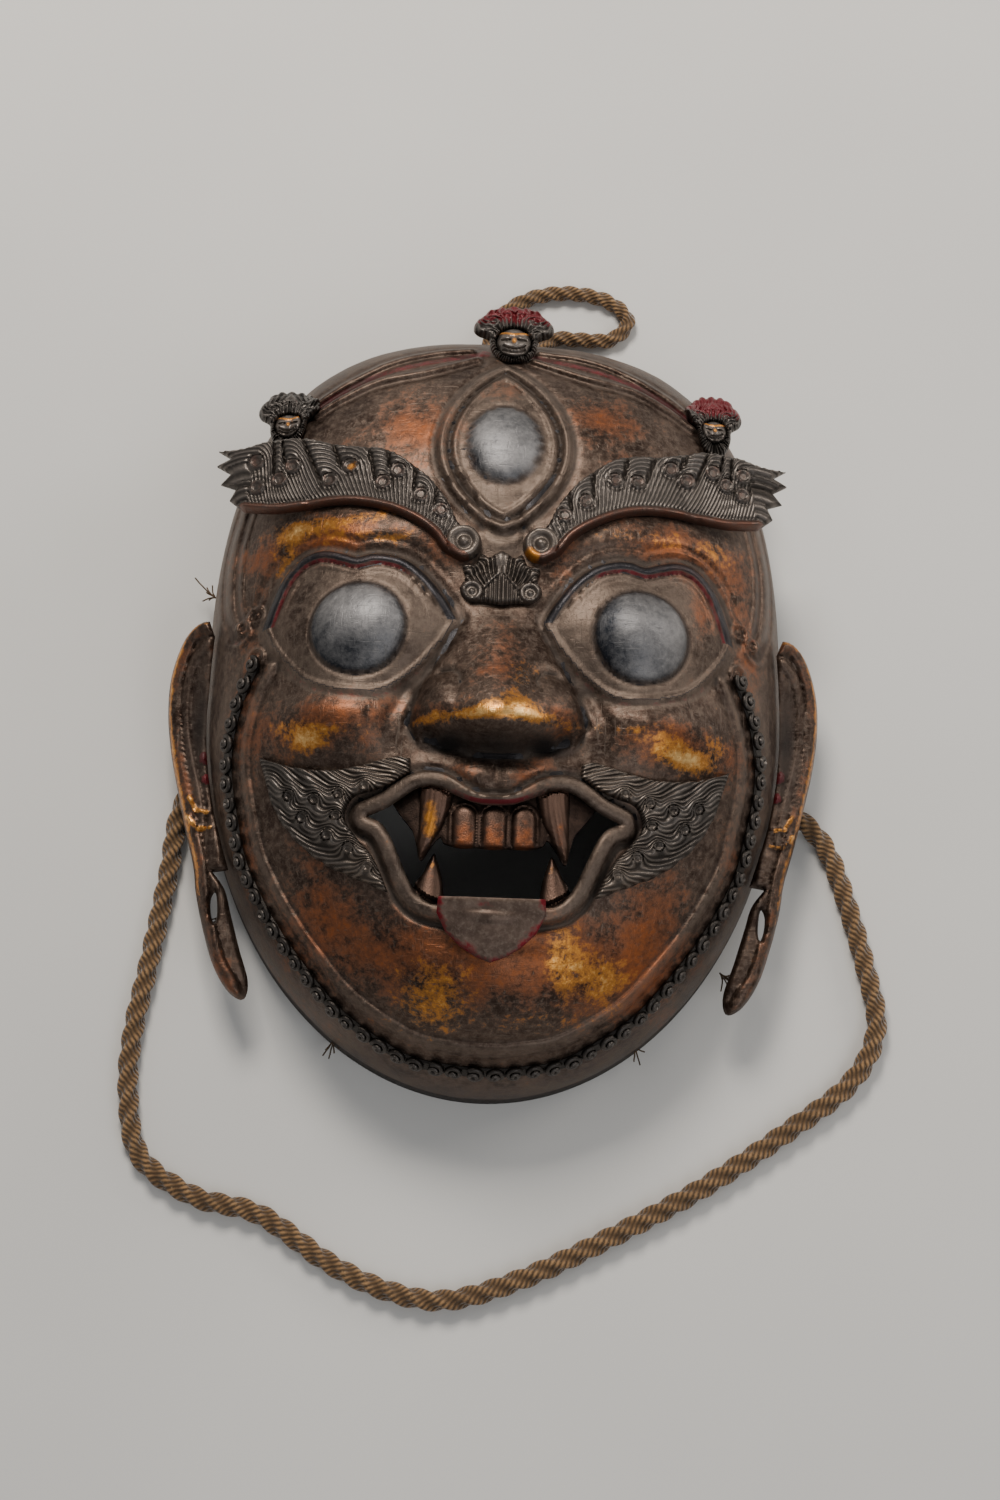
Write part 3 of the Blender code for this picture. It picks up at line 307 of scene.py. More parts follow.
def ridge(away, half, height, power=1.0):
    """A rounded ridge where `away` is the distance from its crest; a lower power makes its edges steeper."""
    return height * np.clip(1 - (away / half) ** 2, 0, 1) ** power


def bell(x, y, at, wide, long=None):
    """A soft round spot of height 1."""
    return np.exp(-((x - at[0]) / wide) ** 2 - ((y - at[1]) / (long or wide)) ** 2)


def spots(x, y, table):
    """Soft spots added up: rows hold place x and y, reach across and along, and height."""
    return sum(high * bell(x, y, (at_x, at_y), wide, long) for at_x, at_y, wide, long, high in table)


def waves(x, y, size, seed):
    """Smooth irregular waviness between about -1 and 1, with swells of about `size`."""
    draw = np.random.default_rng(seed)
    total = np.zeros(np.shape(x))
    for _ in range(7):
        turn = draw.uniform(0, 2 * math.pi)
        long = size * draw.uniform(0.7, 1.6)
        total += np.sin((x * math.cos(turn) + y * math.sin(turn)) / long * 2 * math.pi + draw.uniform(0, 6.3))
    return total / 3.2


EYE_LINE = cornered(EYE_UPPER, EYE_LOWER, 1.6)
THIRD_EYE_LINE = np.array(mirrored(smooth_line(THIRD_EYE, 2)))
MOUTH_LINE = cornered(both_sides(MOUTH_UPPER), both_sides(MOUTH_LOWER[::-1])[::-1], 1.6)
FULL_CURL_LINE = [(-x, y) for x, y in CURL_LINE[:-1]] + list(CURL_LINE[::-1])


def rim_radius(angle):
    """Reach of the rim from the face's centre."""
    across = np.abs(np.cos(angle))
    along = np.sin(angle)
    square = np.where(along > 0, CROWN_SQUARE, JAW_SQUARE)
    reach = np.where(along > 0, CROWN_REACH, CHIN_REACH)
    return ((across / HALF_WIDTH) ** square + (np.abs(along) / reach) ** square) ** (-1 / square)


def to_flat(x, y):
    """Place on the flattened face, where the steep sides take the room they really have."""
    angle = np.arctan2(y - FACE_CENTRE_Y, x)
    reach = rim_radius(angle)
    share = np.clip(np.hypot(x, y - FACE_CENTRE_Y) / reach, 0, 1)
    turn = np.arcsin(share ** (DOME_SQUARE / 2)) / (math.pi / 2)
    return turn * reach * FLAT_STRETCH * np.cos(angle), turn * reach * FLAT_STRETCH * np.sin(angle)


def from_flat(u, v):
    """Plan place and dome height of a place on the flattened face."""
    angle = np.arctan2(v, u)
    reach = rim_radius(angle)
    turn = np.clip(np.hypot(u, v) / (reach * FLAT_STRETCH), 0, 1) * math.pi / 2
    share = np.sin(turn) ** (2 / DOME_SQUARE)
    height = DOME_HEIGHT * np.abs(np.cos(turn)) ** (2 / DOME_SQUARE)
    return share * reach * np.cos(angle), FACE_CENTRE_Y + share * reach * np.sin(angle), height


# Relief of the face

def groove(away, at, wide, depth):
    """A soft groove along a line, at a distance from it."""
    return -depth * soft(away - at, wide)


def nose_rise(x, y):
    """The broad nose with its hooked wings and nostrils."""
    side = np.abs(x)
    profile = smooth_line(NOSE_PROFILE, 2)[::-1]
    plan = np.array(NOSE_PLAN, float)[::-1]
    share = np.clip(side / np.interp(y, plan[:, 0], plan[:, 1]), 0, 1)
    lift = np.interp(y - NOSE_UNDERCUT * share ** 2, profile[:, 0], profile[:, 1])
    across = 0.45 * (1 - share ** 4) ** 0.6 + 0.55 * soft(share, 0.55) * (1 - share ** 8)
    (wing_x, wing_y), wide, long, high = NOSE_WING
    wing = high * np.clip(1 - ((side - wing_x) / wide) ** 2 - ((y - wing_y) / long) ** 2, 0, 1) ** 0.7
    fold = groove(distance_to(smooth_line(NOSE_HOOK, 1.5), side, y), 0, 1.4, 2.8)
    nostril = groove(distance_to(smooth_line(NOSTRIL, 1.5), side, y), 0, 2.2, 8) * (lift > 1)
    return lift * across + wing + fold + nostril


def eye_rise(x, y):
    """Lid ridges, eyeball and iris disc of both eyes, with small curls at the outer corners."""
    side = np.abs(x)
    away = signed_distance(EYE_LINE, side, y)
    upper = ease((y - 36) / 14)
    rise = ridge(away, 1.9 + 1.3 * upper, 1.9 + 1.7 * upper)
    rise = rise + ridge(away + 5.4, 1.6, 1.3) * upper
    rise = rise + groove(away, 5.2, 2.6, 2.0) * (0.35 + 0.65 * upper)
    rise = rise + groove(away, 10.5, 1.7, 1.3) * upper * ease((side - 18) / 12)
    rise = rise + np.where(away < 0, 3.4 * (1 - np.exp(np.minimum(away, 0) / 7)), 0)
    reach = np.hypot(side - IRIS_AT[0], y - IRIS_AT[1])
    rise = rise + ridge(reach, IRIS_RADIUS, IRIS_RISE, 0.6) + groove(reach, IRIS_RADIUS + 0.8, 1.0, 1.1)
    for at, radius in EYE_CURLS:
        reach = np.hypot(side - at[0], y - at[1])
        rise = rise + ridge(reach - radius, 1.4, 1.8) + ridge(reach, 1.6, 1.4)
    return rise


def third_iris_reach(x, y):
    """Distance from the middle of the third iris, which is longer than wide in plan."""
    return np.hypot((x - THIRD_IRIS_AT[0]) / THIRD_IRIS_WIDE, (y - THIRD_IRIS_AT[1]) / THIRD_IRIS_LONG)


def third_eye_rise(x, y):
    """The upright eye on the forehead, with its two ridges and iris disc."""
    away = signed_distance(THIRD_EYE_LINE, x, y)
    rise = ridge(away, 2.6, 3.0) + ridge(away + 6.4, 1.9, 1.9)
    rise = rise + groove(away, -3.6, 1.2, 1.0) + groove(away, 4.4, 2, 1.2)
    rise = rise + np.where(away < -6, 2.0 * (1 - np.exp(np.minimum(away + 6, 0) / 6)), 0)
    reach = third_iris_reach(x, y)
    rise = rise + ridge(reach, THIRD_IRIS_RADIUS, IRIS_RISE, 0.6)
    return rise + groove(reach, THIRD_IRIS_RADIUS + 0.8, 1.0, 0.9)


def band_rise(x, y):
    """Ridges of the headband and temples, and the ledge inside the beard curls."""
    side = np.abs(x)
    rise = 0
    for line in HEADBAND_LINES:
        away = distance_to(smooth_line(line, 3), side, y)
        rise = rise + ridge(away, 2.8, 2.9) + groove(away, 4.4, 1.5, 0.8)
    away = distance_to(smooth_line(TEMPLE_LINE, 3), side, y)
    rise = rise + ridge(away, 2.6, 1.8) + ridge(away - 6.2, 1.8, 1.2) + groove(away, 3.6, 1.3, 0.6)
    ledge = distance_to(smooth_line(FULL_CURL_LINE, 3), x, y)
    step = ridge(ledge - LEDGE_AWAY, 3.0, 2.2) + groove(ledge, LEDGE_AWAY + 4.2, 1.6, 0.7)
    return rise + np.where(inside(FULL_CURL_LINE, x, y), step, 0)


def lip_rise(x, y):
    """Rolled lips around the open mouth, thin above the front teeth, with a sharp outer line."""
    away = distance_to(MOUTH_LINE, x, y, closed=True)
    roll = LIP_ROLL * (1 - 0.42 * bell(x, y, (0, -50), 24, 10))
    body = ridge(away - roll / 2, roll / 2 + 0.4, 4.2, 0.8)
    return body + ridge(away - roll + 1.3, 1.3, 0.9) + groove(away, roll + 1.5, 1.5, 1.7)


def fold_rise(x, y):
    """Soft folds of the face: frown, philtrum pads, cheek edge and chin crease, and the marks of beating."""
    side = np.abs(x)
    rise = 2.0 * bell(side, y, (12, -39), 8, 6) - 1.6 * bell(side, y, (0, -38), 3.2, 8)
    rise = rise - 1.8 * bell(x, y, (0, -116), 34, 5)
    for line, wide, high in FOLD_LINES:
        rise = rise + high * soft(distance_to(line, side, y), wide)
    for size, seed, high in BEATEN_WAVES:
        rise = rise + high * waves(x, y, size, seed)
    return rise


def broad_rise(x, y):
    """The broad swellings of forehead, brow bones, cheeks, muzzle and chin."""
    return spots(np.abs(x), y, SWELLINGS)


def face_height(x, y, dome):
    """Height of the face's outer skin."""
    parts = (broad_rise, nose_rise, eye_rise, third_eye_rise, band_rise, lip_rise, fold_rise)
    rise = sum(part(x, y) for part in parts)
    return dome + rise * ease(dome / RELIEF_FADE)


def dome_height(x, y):
    """Height of the plain dome over a place on the plan."""
    share = np.clip(np.hypot(x, y - FACE_CENTRE_Y) / rim_radius(np.arctan2(y - FACE_CENTRE_Y, x)), 0, 1)
    return DOME_HEIGHT * (1 - share ** DOME_SQUARE) ** (1 / DOME_SQUARE)


def calm_height(x, y):
    """Height of the face without its small relief, which the trim follows."""
    dome = dome_height(x, y)
    return dome + broad_rise(x, y) * ease(dome / RELIEF_FADE)


# Skins and pieces

def filled_net(loops, zones):
    """Points and triangles inside the first loop and outside the others; `zones` are (step, test) pairs."""
    points = [np.array(loop, float) for loop in loops]
    low, high = points[0].min(0), points[0].max(0)
    starts = np.cumsum([0] + [len(loop) for loop in points])

    def within(x, y):
        keep = inside(loops[0], x, y)
        for loop in loops[1:]:
            keep &= ~inside(loop, x, y)
        return keep

    for step, wanted in zones:
        rows = np.arange(low[1], high[1], step * math.sqrt(0.75))
        x, y = np.meshgrid(np.arange(low[0] - step, high[0], step), rows)
        x = x + (np.arange(len(rows)) % 2)[:, None] * step / 2
        x, y = x.ravel(), y.ravel()
        for test in (wanted, within):
            keep = test(x, y)
            x, y = x[keep], y[keep]
        keep = np.ones(len(x), bool)
        for loop in loops:
            keep &= distance_to(loop, x, y, closed=True) > step * 0.55
        points.append(np.stack([x[keep], y[keep]], 1))
    edges = []
    for start, loop in zip(starts, loops):
        edges += [(int(start + k), int(start + (k + 1) % len(loop))) for k in range(len(loop))]
    made = delaunay_2d_cdt([Vector(p) for p in np.concatenate(points)], edges, [], 0, 1e-6)
    flat = np.array([tuple(v) for v in made[0]])
    faces = np.array([tuple(f) for f in made[2]])
    return flat, faces[within(*flat[faces].mean(1).T)]


def vertex_normals(points, faces):
    """Area-weighted normals of the points of a triangle net."""
    a, b, c = points[faces[:, 0]], points[faces[:, 1]], points[faces[:, 2]]
    flat = np.cross(b - a, c - a)
    total = np.zeros_like(points)
    for k in range(3):
        np.add.at(total, faces[:, k], flat)
    return total / np.maximum(np.linalg.norm(total, axis=1, keepdims=True), 1e-12)


def closed_skin(front, front_faces, back, back_faces):
    """One closed skin from two nets whose loops hold the same points in the same order."""
    count = len(front)
    ends = np.concatenate([front_faces[:, [0, 1]], front_faces[:, [1, 2]], front_faces[:, [2, 0]]])
    span = count + 1
    lone = ends[~np.isin(ends[:, 0] * span + ends[:, 1], ends[:, 1] * span + ends[:, 0])]
    walls = np.stack([lone[:, 1], lone[:, 0], lone[:, 0] + count, lone[:, 1] + count], 1)
    faces = [tuple(f) for f in front_faces.tolist()]
    faces += [tuple(f) for f in (back_faces[:, ::-1] + count).tolist()]
    faces += [tuple(f) for f in walls.tolist()]
    return np.concatenate([front, back]), faces


def placed(points):
    """Drawn millimetres to metres in the frame."""
    return (np.asarray(points, float) + (0, FRAME_SHIFT, 0)) * MM


def new_piece(name, verts, faces, finish):
    """A smooth piece from drawn points, not yet hung on the mask's body."""
    mesh = bpy.data.meshes.new(name)
    mesh.from_pydata(placed(verts).tolist(), [], faces)
    mesh.materials.append(finish)
    mesh.shade_smooth()
    piece = bpy.data.objects.new(name, mesh)
    bpy.context.scene.collection.objects.link(piece)
    return piece


def add_piece(name, verts, faces, finish, nodes, crease=50):
    """A finished piece from drawn points, which rides on the mask and stands for CAD nodes."""
    piece = new_piece(name, verts, faces, finish)
    piece.data.set_sharp_from_angle(angle=math.radians(crease))
    piece.data.validate()
    settle(piece, nodes)
    return piece


def settle(piece, nodes):
    """Hang a piece on the mask's body and hide the CAD nodes that it stands for."""
    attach(piece, BODY)
    if nodes:
        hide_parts(*nodes)


def deselect_all():
    """Leave nothing selected and nothing active in edit mode."""
    bpy.ops.object.select_all(action="DESELECT")
    bpy.context.view_layer.objects.active = None


def apply_place(piece):
    """Put a piece's place, turn and size into its mesh."""
    deselect_all()
    piece.select_set(True)
    bpy.context.view_layer.objects.active = piece
    bpy.ops.object.transform_apply(location=True, rotation=True, scale=True)


def paint(piece, name, values):
    """Store a number for each point of a piece, or one for all, for its material to read."""
    layer = piece.data.attributes.new(name, "FLOAT", "POINT")
    layer.data.foreach_set("value", np.full(len(piece.data.vertices), values, np.float32))


def skin_heights(tree, x, y, missed=-100.0):
    """Height of the carrier's skin over places on the plan, or `missed` where there is none."""
    down = Vector((0, 0, -1))
    found = np.full(len(x), missed)
    for k in range(len(x)):
        hit = tree.ray_cast(Vector((x[k], y[k], RAY_START)), down)[0]
        if hit is not None:
            found[k] = hit.z
    return found


def everywhere(x, y):
    """A zone that takes in every place."""
    return np.ones(len(x), bool)


BACK_STEP = 3.2
SMALL_BACK_STEP = 2.6
EDGE_ROUNDING = 1.6
PLATE_CORE = 0.3


def sheet_nets(loops, step, back_step=BACK_STEP):
    """A fine net for a sheet's front and a plainer one for its back, each as points and triangles."""
    return filled_net(loops, [(step, everywhere)]), filled_net(loops, [(back_step, everywhere)])


def sheet_skin(front, top, back, bottom):
    """The closed skin of a sheet from its two nets and their heights."""
    front_points = np.column_stack([front[0], top])
    return closed_skin(front_points, front[1], np.column_stack([back[0], bottom]), back[1])


def add_plate(node, outline, relief, lift, tree, finish, free=None, back_step=BACK_STEP):
    """A chased plate of thickness `lift` on the face, for a CAD node: piece, places, and its relief there."""
    front, back = sheet_nets([outline], TRIM_STEP, back_step)

    def floor(x, y):
        base = np.maximum(calm_height(x, y), skin_heights(tree, x, y) + SKIN_GAP)
        return SEAT_GAP + (base if free is None else np.maximum(base, free(x, y)))

    x, y = front[0].T
    rounding = np.sqrt(np.clip(distance_to(outline, x, y, closed=True) / EDGE_ROUNDING, 0, 1))
    top = floor(x, y) + PLATE_CORE + (lift + relief(x, y)[0]) * (0.35 + 0.65 * rounding)
    verts, faces = sheet_skin(front, top, back, floor(*back[0].T))
    piece = add_piece(f"chased_{node}", verts, faces, finish, (node,))
    x, y = flat_of(piece)
    return piece, x, y, *relief(x, y)


# Finishes

def linear(code):
    """An sRGB hex colour as linear red, green and blue."""
    parts = [int(code[k:k + 2], 16) / 255 for k in (1, 3, 5)]
    return tuple(p / 12.92 if p <= 0.04045 else ((p + 0.055) / 1.055) ** 2.4 for p in parts)


class Finish:
    """A material whose shader is built in small steps, coat by coat."""

    def __init__(self, name, roughness, metallic, specular=0.5):
        self.material = bpy.data.materials.new(name)
        self.material.use_nodes = True
        self.tree = self.material.node_tree
        self.shader = self.tree.nodes["Principled BSDF"]
        self.feed(self.shader, {"Roughness": roughness, "Metallic": metallic, "Specular IOR Level": specular})
        self.place = self.node("ShaderNodeTexCoord", {}).outputs["Object"]
        self.skin = None

    def feed(self, node, inputs):
        """Give a node's sockets numbers, colours or other nodes' outputs."""
        for socket, value in inputs.items():
            if isinstance(value, bpy.types.NodeSocket):
                self.tree.links.new(value, node.inputs[socket])
            else:
                node.inputs[socket].default_value = value

    def node(self, kind, inputs, **settings):
        """Add a shader node."""
        made = self.tree.nodes.new(kind)
        for name, value in settings.items():
            setattr(made, name, value)
        self.feed(made, inputs)
        return made

    def noise(self, size_mm, detail, rough, stretch=None, twist=0.0):
        """A noise of about `size_mm`, stretched and turned where asked."""
        place = self.place
        if stretch:
            turned = {"Vector": place, "Scale": stretch, "Rotation": (0, 0, twist)}
            place = self.node("ShaderNodeMapping", turned).outputs["Vector"]
        inputs = {"Vector": place, "Scale": 1000 / size_mm, "Detail": detail, "Roughness": rough}
        return self.node("ShaderNodeTexNoise", inputs).outputs["Fac"]

    def mark(self, name):
        """A number stored on the points of the piece."""
        return self.node("ShaderNodeAttribute", {}, attribute_name=name).outputs["Fac"]

    def math(self, kind, first, second=0.0, third=0.0):
        """Arithmetic on one to three numbers."""
        return self.node("ShaderNodeMath", {0: first, 1: second, 2: third}, operation=kind).outputs[0]

    def scaled(self, value, gain, base=0.0):
        """A number times another, added to a third."""
        return self.math("MULTIPLY_ADD", value, gain, base)

    def centred(self, value, gain):
        """A noise as a swing about zero."""
        return self.scaled(value, gain, -0.5 * gain)

    def span(self, value, low, high, to_low=0.0, to_high=1.0):
        """Stretch a number's range, held at its ends."""
        inputs = {"Value": value, "From Min": low, "From Max": high, "To Min": to_low, "To Max": to_high}
        return self.node("ShaderNodeMapRange", inputs, clamp=True).outputs["Result"]

    def worn(self, name, wander, low, high):
        """Where a mark survives once the wander of a noise has broken its edge."""
        return self.span(self.math("ADD", self.mark(name), wander), low, high)

    def mixed(self, share, first, second):
        """One colour over another."""
        ends = [end if isinstance(end, bpy.types.NodeSocket) else (*end, 1) for end in (first, second)]
        return self.node("ShaderNodeMix", {0: share, 6: ends[0], 7: ends[1]}, data_type="RGBA").outputs[2]

    def coat(self, share, colour, over=None):
        """Lay a colour over the skin so far, or over a first colour."""
        self.skin = self.mixed(share, over or self.skin, colour)

    def done(self, height, strength, depth_mm, **inputs):
        """Wire the skin, a bump and other inputs to the shader, and give the material."""
        raised = {"Strength": strength, "Distance": depth_mm * MM, "Height": height}
        bump = self.node("ShaderNodeBump", raised)
        inputs = {name.replace("_", " "): value for name, value in inputs.items()}
        self.feed(self.shader, {"Base Color": self.skin, "Normal": bump.outputs["Normal"], **inputs})
        return self.material


def raised_copper(colours):
    """Raised sheet copper, fire-gilt long ago and handled since.

    Copper beaten from the back gives soft planished dents. Age gives it a brown patina with greyish dust in
    its scratches and hollows, gilding survives as broken gold where hands rub, and red lacquer clings beside
    the ridges.
    """
    f = Finish("patinated_gilt_copper", 0.45, 0.9)
    cloud = f.noise(40, 4, 0.6)
    mottle = f.noise(13, 6, 0.68)
    fleck = f.noise(3.6, 6, 0.74)
    grain = f.noise(1.0, 3, 0.6)
    scratch = f.noise(1.5, 3, 0.6, (1, 0.06, 1), 0.35)
    scratch_too = f.noise(1.5, 3, 0.6, (0.06, 1, 1), -0.25)
    hairs = f.span(f.math("MAXIMUM", scratch, scratch_too), 0.58, 0.7)
    wander = f.math("ADD", f.centred(mottle, 1.5), f.centred(fleck, 1.7))
    patchy = f.math("ADD", wander, f.centred(cloud, 1.2))
    f.coat(f.span(patchy, -0.4, 0.4), colours.patina, over=colours.patina_dark)
    speck = f.math("MAXIMUM", f.span(fleck, 0.5, 0.72), f.scaled(hairs, 0.7))
    f.coat(f.scaled(speck, 0.6), colours.dust)
    f.coat(f.scaled(f.worn("warm", patchy, 0.35, 1.1), 0.85), colours.copper)
    dusty = f.worn("dusty", f.centred(mottle, 0.9), 0.1, 0.9)
    f.coat(f.scaled(dusty, 0.7), colours.dust)
    rubbed = f.scaled(hairs, -0.3, wander)
    gilt = f.worn("rub", rubbed, 0.42, 0.85)
    f.coat(gilt, colours.gold)
    # Paler gold on the strongest rubbed spots: polished gilding, with a painted highlight on the nose tip and
    # cheeks.
    f.coat(f.worn("rub", rubbed, 0.85, 1.4), colours.polished_gold_highlight)
    on_seam = f.span(f.math("ABSOLUTE", f.mark("seam")), 1.1, 0.6)
    red = f.scaled(f.worn("lacquer", f.centred(fleck, 0.9), 0.3, 0.55), on_seam)
    f.coat(red, colours.lacquer)
    silver = f.math("SUBTRACT", f.scaled(wander, 0.8), f.mark("tarnish"))
    silver = f.span(f.scaled(hairs, 0.1, silver), -0.9, 0.3)
    f.coat(f.mark("pewter"), f.mixed(silver, colours.pewter_dark, colours.pewter))
    inked = f.span(f.math("ABSOLUTE", f.mark("lid")), 2.5, 1.6, 0, 0.85)
    f.coat(inked, colours.pewter_dark)
    # Near black: painted shade in the creases, low by the rim and under the nose, and the dark ring round each
    # iris.
    soot_and_shade = f.worn("soot_and_shade", f.centred(fleck, 0.5), 0.08, 0.95)
    f.coat(soot_and_shade, colours.soot_and_shade)
    dull = f.scaled(speck, 0.14, f.span(mottle, 0.3, 0.7, 0.38, 0.5))
    for share, gain in ((inked, -0.12), (gilt, -0.12), (f.mark("pewter"), 0.1), (dusty, 0.16), (soot_and_shade, 0.2)):
        dull = f.scaled(share, gain, dull)
    metal = f.scaled(red, -0.55, f.scaled(soot_and_shade, -0.5, 0.92))
    dents = f.scaled(grain, 0.2, f.scaled(fleck, 0.6))
    return f.done(f.scaled(hairs, -0.3, dents), 0.4, 0.8, Roughness=dull, Metallic=metal)


def blackened_trim(colours):
    """Chased copper trim blackened by old lacquer and oil: near black in the cuts, gunmetal on the crests.

    The hairs are chased with a fine liner, so each is a low round with a dark cut beside it. On the beard curls
    the lighter tops are a painted highlight.
    """
    f = Finish("blackened_chased_copper", 0.34, 0.88)
    fleck = f.noise(4, 5, 0.7)
    grain = f.noise(0.8, 3, 0.6)
    wander = f.centred(fleck, 0.9)
    lines = f.math("COSINE", f.scaled(f.mark("hair"), 2 * math.pi))
    lines = f.scaled(lines, f.mark("haired"))
    crest = f.scaled(lines, 0.26, f.scaled(wander, 0.3, f.mark("crest")))
    f.coat(f.span(crest, 0.0, 1.0), colours.trim, over=colours.trim_dark)
    powder = f.span(f.math("ADD", wander, lines), -0.6, 0.7, 0.25, 0.9)
    f.coat(f.scaled(f.mark("dusty"), powder), colours.dust)
    f.coat(f.worn("rub", wander, 0.3, 0.75), colours.rim)
    f.coat(f.worn("gilt", wander, 0.35, 0.65), colours.gold)
    red = f.worn("lacquer", f.scaled(lines, -0.12, wander), 0.4, 0.65)
    f.coat(red, colours.lacquer)
    return f.done(f.scaled(lines, 0.5, f.scaled(grain, 0.3)), 0.75, 0.8,
                  Roughness=f.span(fleck, 0.3, 0.75, 0.34, 0.5), Metallic=f.scaled(red, -0.6, 0.85))


def tooth_copper(colours):
    """Chased copper teeth, dusty brown where they stand high and near black in the low gums, rubbed to copper
    and gold on the bulges.
    """
    f = Finish("rubbed_copper_teeth", 0.42, 0.88)
    fleck = f.noise(4, 6, 0.7)
    grain = f.noise(0.8, 3, 0.6)
    wander = f.centred(fleck, 1.2)
    crest = f.scaled(wander, 0.5, f.mark("crest"))
    # Near black in the low gums, where the crest mark is low.
    f.coat(f.span(crest, 0.0, 0.8), colours.tooth, over=colours.soot_and_shade)
    f.coat(f.worn("rub", wander, 0.3, 1.0), colours.copper)
    f.coat(f.worn("gilt", wander, 0.35, 0.8), colours.gold)
    return f.done(f.math("ADD", grain, fleck), 0.35, 0.5, Roughness=f.span(fleck, 0.3, 0.75, 0.34, 0.55))


def tongue_metal(colours):
    """Flat sheet metal, dark grey-brown and blotched, with red lacquer left in flakes along the edge."""
    f = Finish("lacquered_tongue_sheet", 0.45, 0.75)
    mottle = f.noise(10, 6, 0.68)
    fleck = f.noise(2.6, 5, 0.72)
    wander = f.math("ADD", f.centred(mottle, 1.6), f.centred(fleck, 0.7))
    f.coat(f.span(wander, -0.45, 0.45), colours.patina, over=colours.patina_dark)
    f.coat(f.scaled(f.span(fleck, 0.5, 0.7), 0.5), colours.dust)
    f.coat(f.worn("lacquer", wander, 0.45, 0.75), colours.lacquer)
    return f.done(mottle, 0.35, 0.5, Roughness=f.span(fleck, 0.3, 0.75, 0.38, 0.6))


def hemp_rope(colours):
    """Old laid hemp: matt tan yarns with patches of dirt, darker in the grooves between the strands. UV runs
    along and round the rope.
    """
    f = Finish("laid_hemp_rope", 0.92, 0.0, 0.2)
    uv = f.node("ShaderNodeUVMap", {}, uv_map="yarn").outputs["UV"]
    inputs = {"Vector": uv, "Scale": 1.0, "Distortion": 1.2, "Detail": 2.0, "Detail Scale": 2.0}
    yarns = f.node("ShaderNodeTexWave", inputs, wave_type="BANDS", bands_direction="DIAGONAL").outputs["Fac"]
    fluff = f.noise(1.3, 5, 0.7)
    dirt = f.noise(14, 4, 0.6)
    f.coat(f.span(yarns, 0.1, 0.9), colours.rope, over=colours.rope_dark)
    f.coat(f.scaled(f.span(dirt, 0.45, 0.7), 0.45), colours.rope_dark)
    f.coat(f.scaled(f.span(fluff, 0.55, 0.72), 0.5), colours.rope_pale)
    # Darker in the grooves between the strands, by the depth stored on each point.
    f.coat(f.scaled(f.mark("deep"), 0.75), colours.rope_dark)
    return f.done(f.scaled(fluff, 0.7, yarns), 0.8, 0.6, Sheen_Weight=0.3, Sheen_Roughness=0.5)


def finish_of(name):
    """A finish made once and shared by its pieces."""
    makers = {"patinated_gilt_copper": raised_copper, "blackened_chased_copper": blackened_trim,
              "rubbed_copper_teeth": tooth_copper, "lacquered_tongue_sheet": tongue_metal,
              "laid_hemp_rope": hemp_rope}
    made = bpy.data.materials.get(name)
    return made if made else makers[name](bpy.context.scene.mask_colours)


# Ropes, laid where the frame's are

ROPE_DIAMETER = 11.0
LOOP_DIAMETER = 8.5
KNOT_DIAMETER = 24.0
ROPE_HOLE = (149, -22.8)
ROPE_WAY = (0.77, 0.64)
HOLE_HEIGHT = 9.5
HOLE_CLEARANCE = 1.2
ROPE_ROUTE = (
    (-136, -12, 9.5), (-149, -22.8, 9.5), (-157.5, -32, 8), (-161.5, -46, 6.3), (-164, -70, 5.6),
    (-171, -115, 5.6), (-177, -150, 5.6), (-178, -181, 5.6), (-170, -214, 5.6), (-142, -233, 5.6),
    (-109, -241, 5.6), (-73, -264, 5.6), (-42, -277, 5.6), (-13, -280, 5.6), (22, -269, 5.6),
    (61, -250, 5.6), (111, -222, 5.6), (156, -191, 5.6), (187, -166, 5.6), (200, -139, 5.6),
    (195, -108, 5.6), (183, -67, 5.6), (174, -45, 6), (162, -32, 8), (149, -22.8, 9.5), (136, -12, 9.5),
)
LOOP_HOLES = (-8, 20)
LOOP_ROUTE = (
    (-8, 207, 7), (-8, 219, 7), (-7, 231, 6), (0, 246, 4.6), (16, 256, 4.35), (36, 259, 4.35),
    (56, 255, 4.35), (67, 244, 4.35), (58, 233, 4.35), (42, 232, 4.8), (28, 231.5, 6), (20.5, 225, 7),
    (20, 216, 7), (20, 207, 7),
)
STRANDS = 3
ROPE_POINTS = 1.6
LOOP_POINTS = 1.4
LAY_LENGTH = 3.4
GROOVE_SHARE = 0.68
YARN_ALONG = 0.16
YARNS_AROUND = 6
KNOT_CORD = 7.2
LOOP_KNOT_CORD = 7.6
LOOP_KNOT_HALF = 19
LOOP_KNOT_COIL = 4.4


def path_length(path):
    """Length of a line of points."""
    return float(np.linalg.norm(np.diff(path, axis=0), axis=1).sum())


def rope_frames(line):
    """Two directions across a line at each of its points, turned as little as can be."""
    ahead = np.gradient(line, axis=0)
    ahead = ahead / np.linalg.norm(ahead, axis=1, keepdims=True)
    side = np.cross(ahead[0], (0, 0, 1.0))
    side = side / np.linalg.norm(side)
    sides = []
    for way in ahead:
        side = side - way * side.dot(way)
        side = side / np.linalg.norm(side)
        sides.append(side)
    sides = np.array(sides)
    return sides, np.cross(ahead, sides)


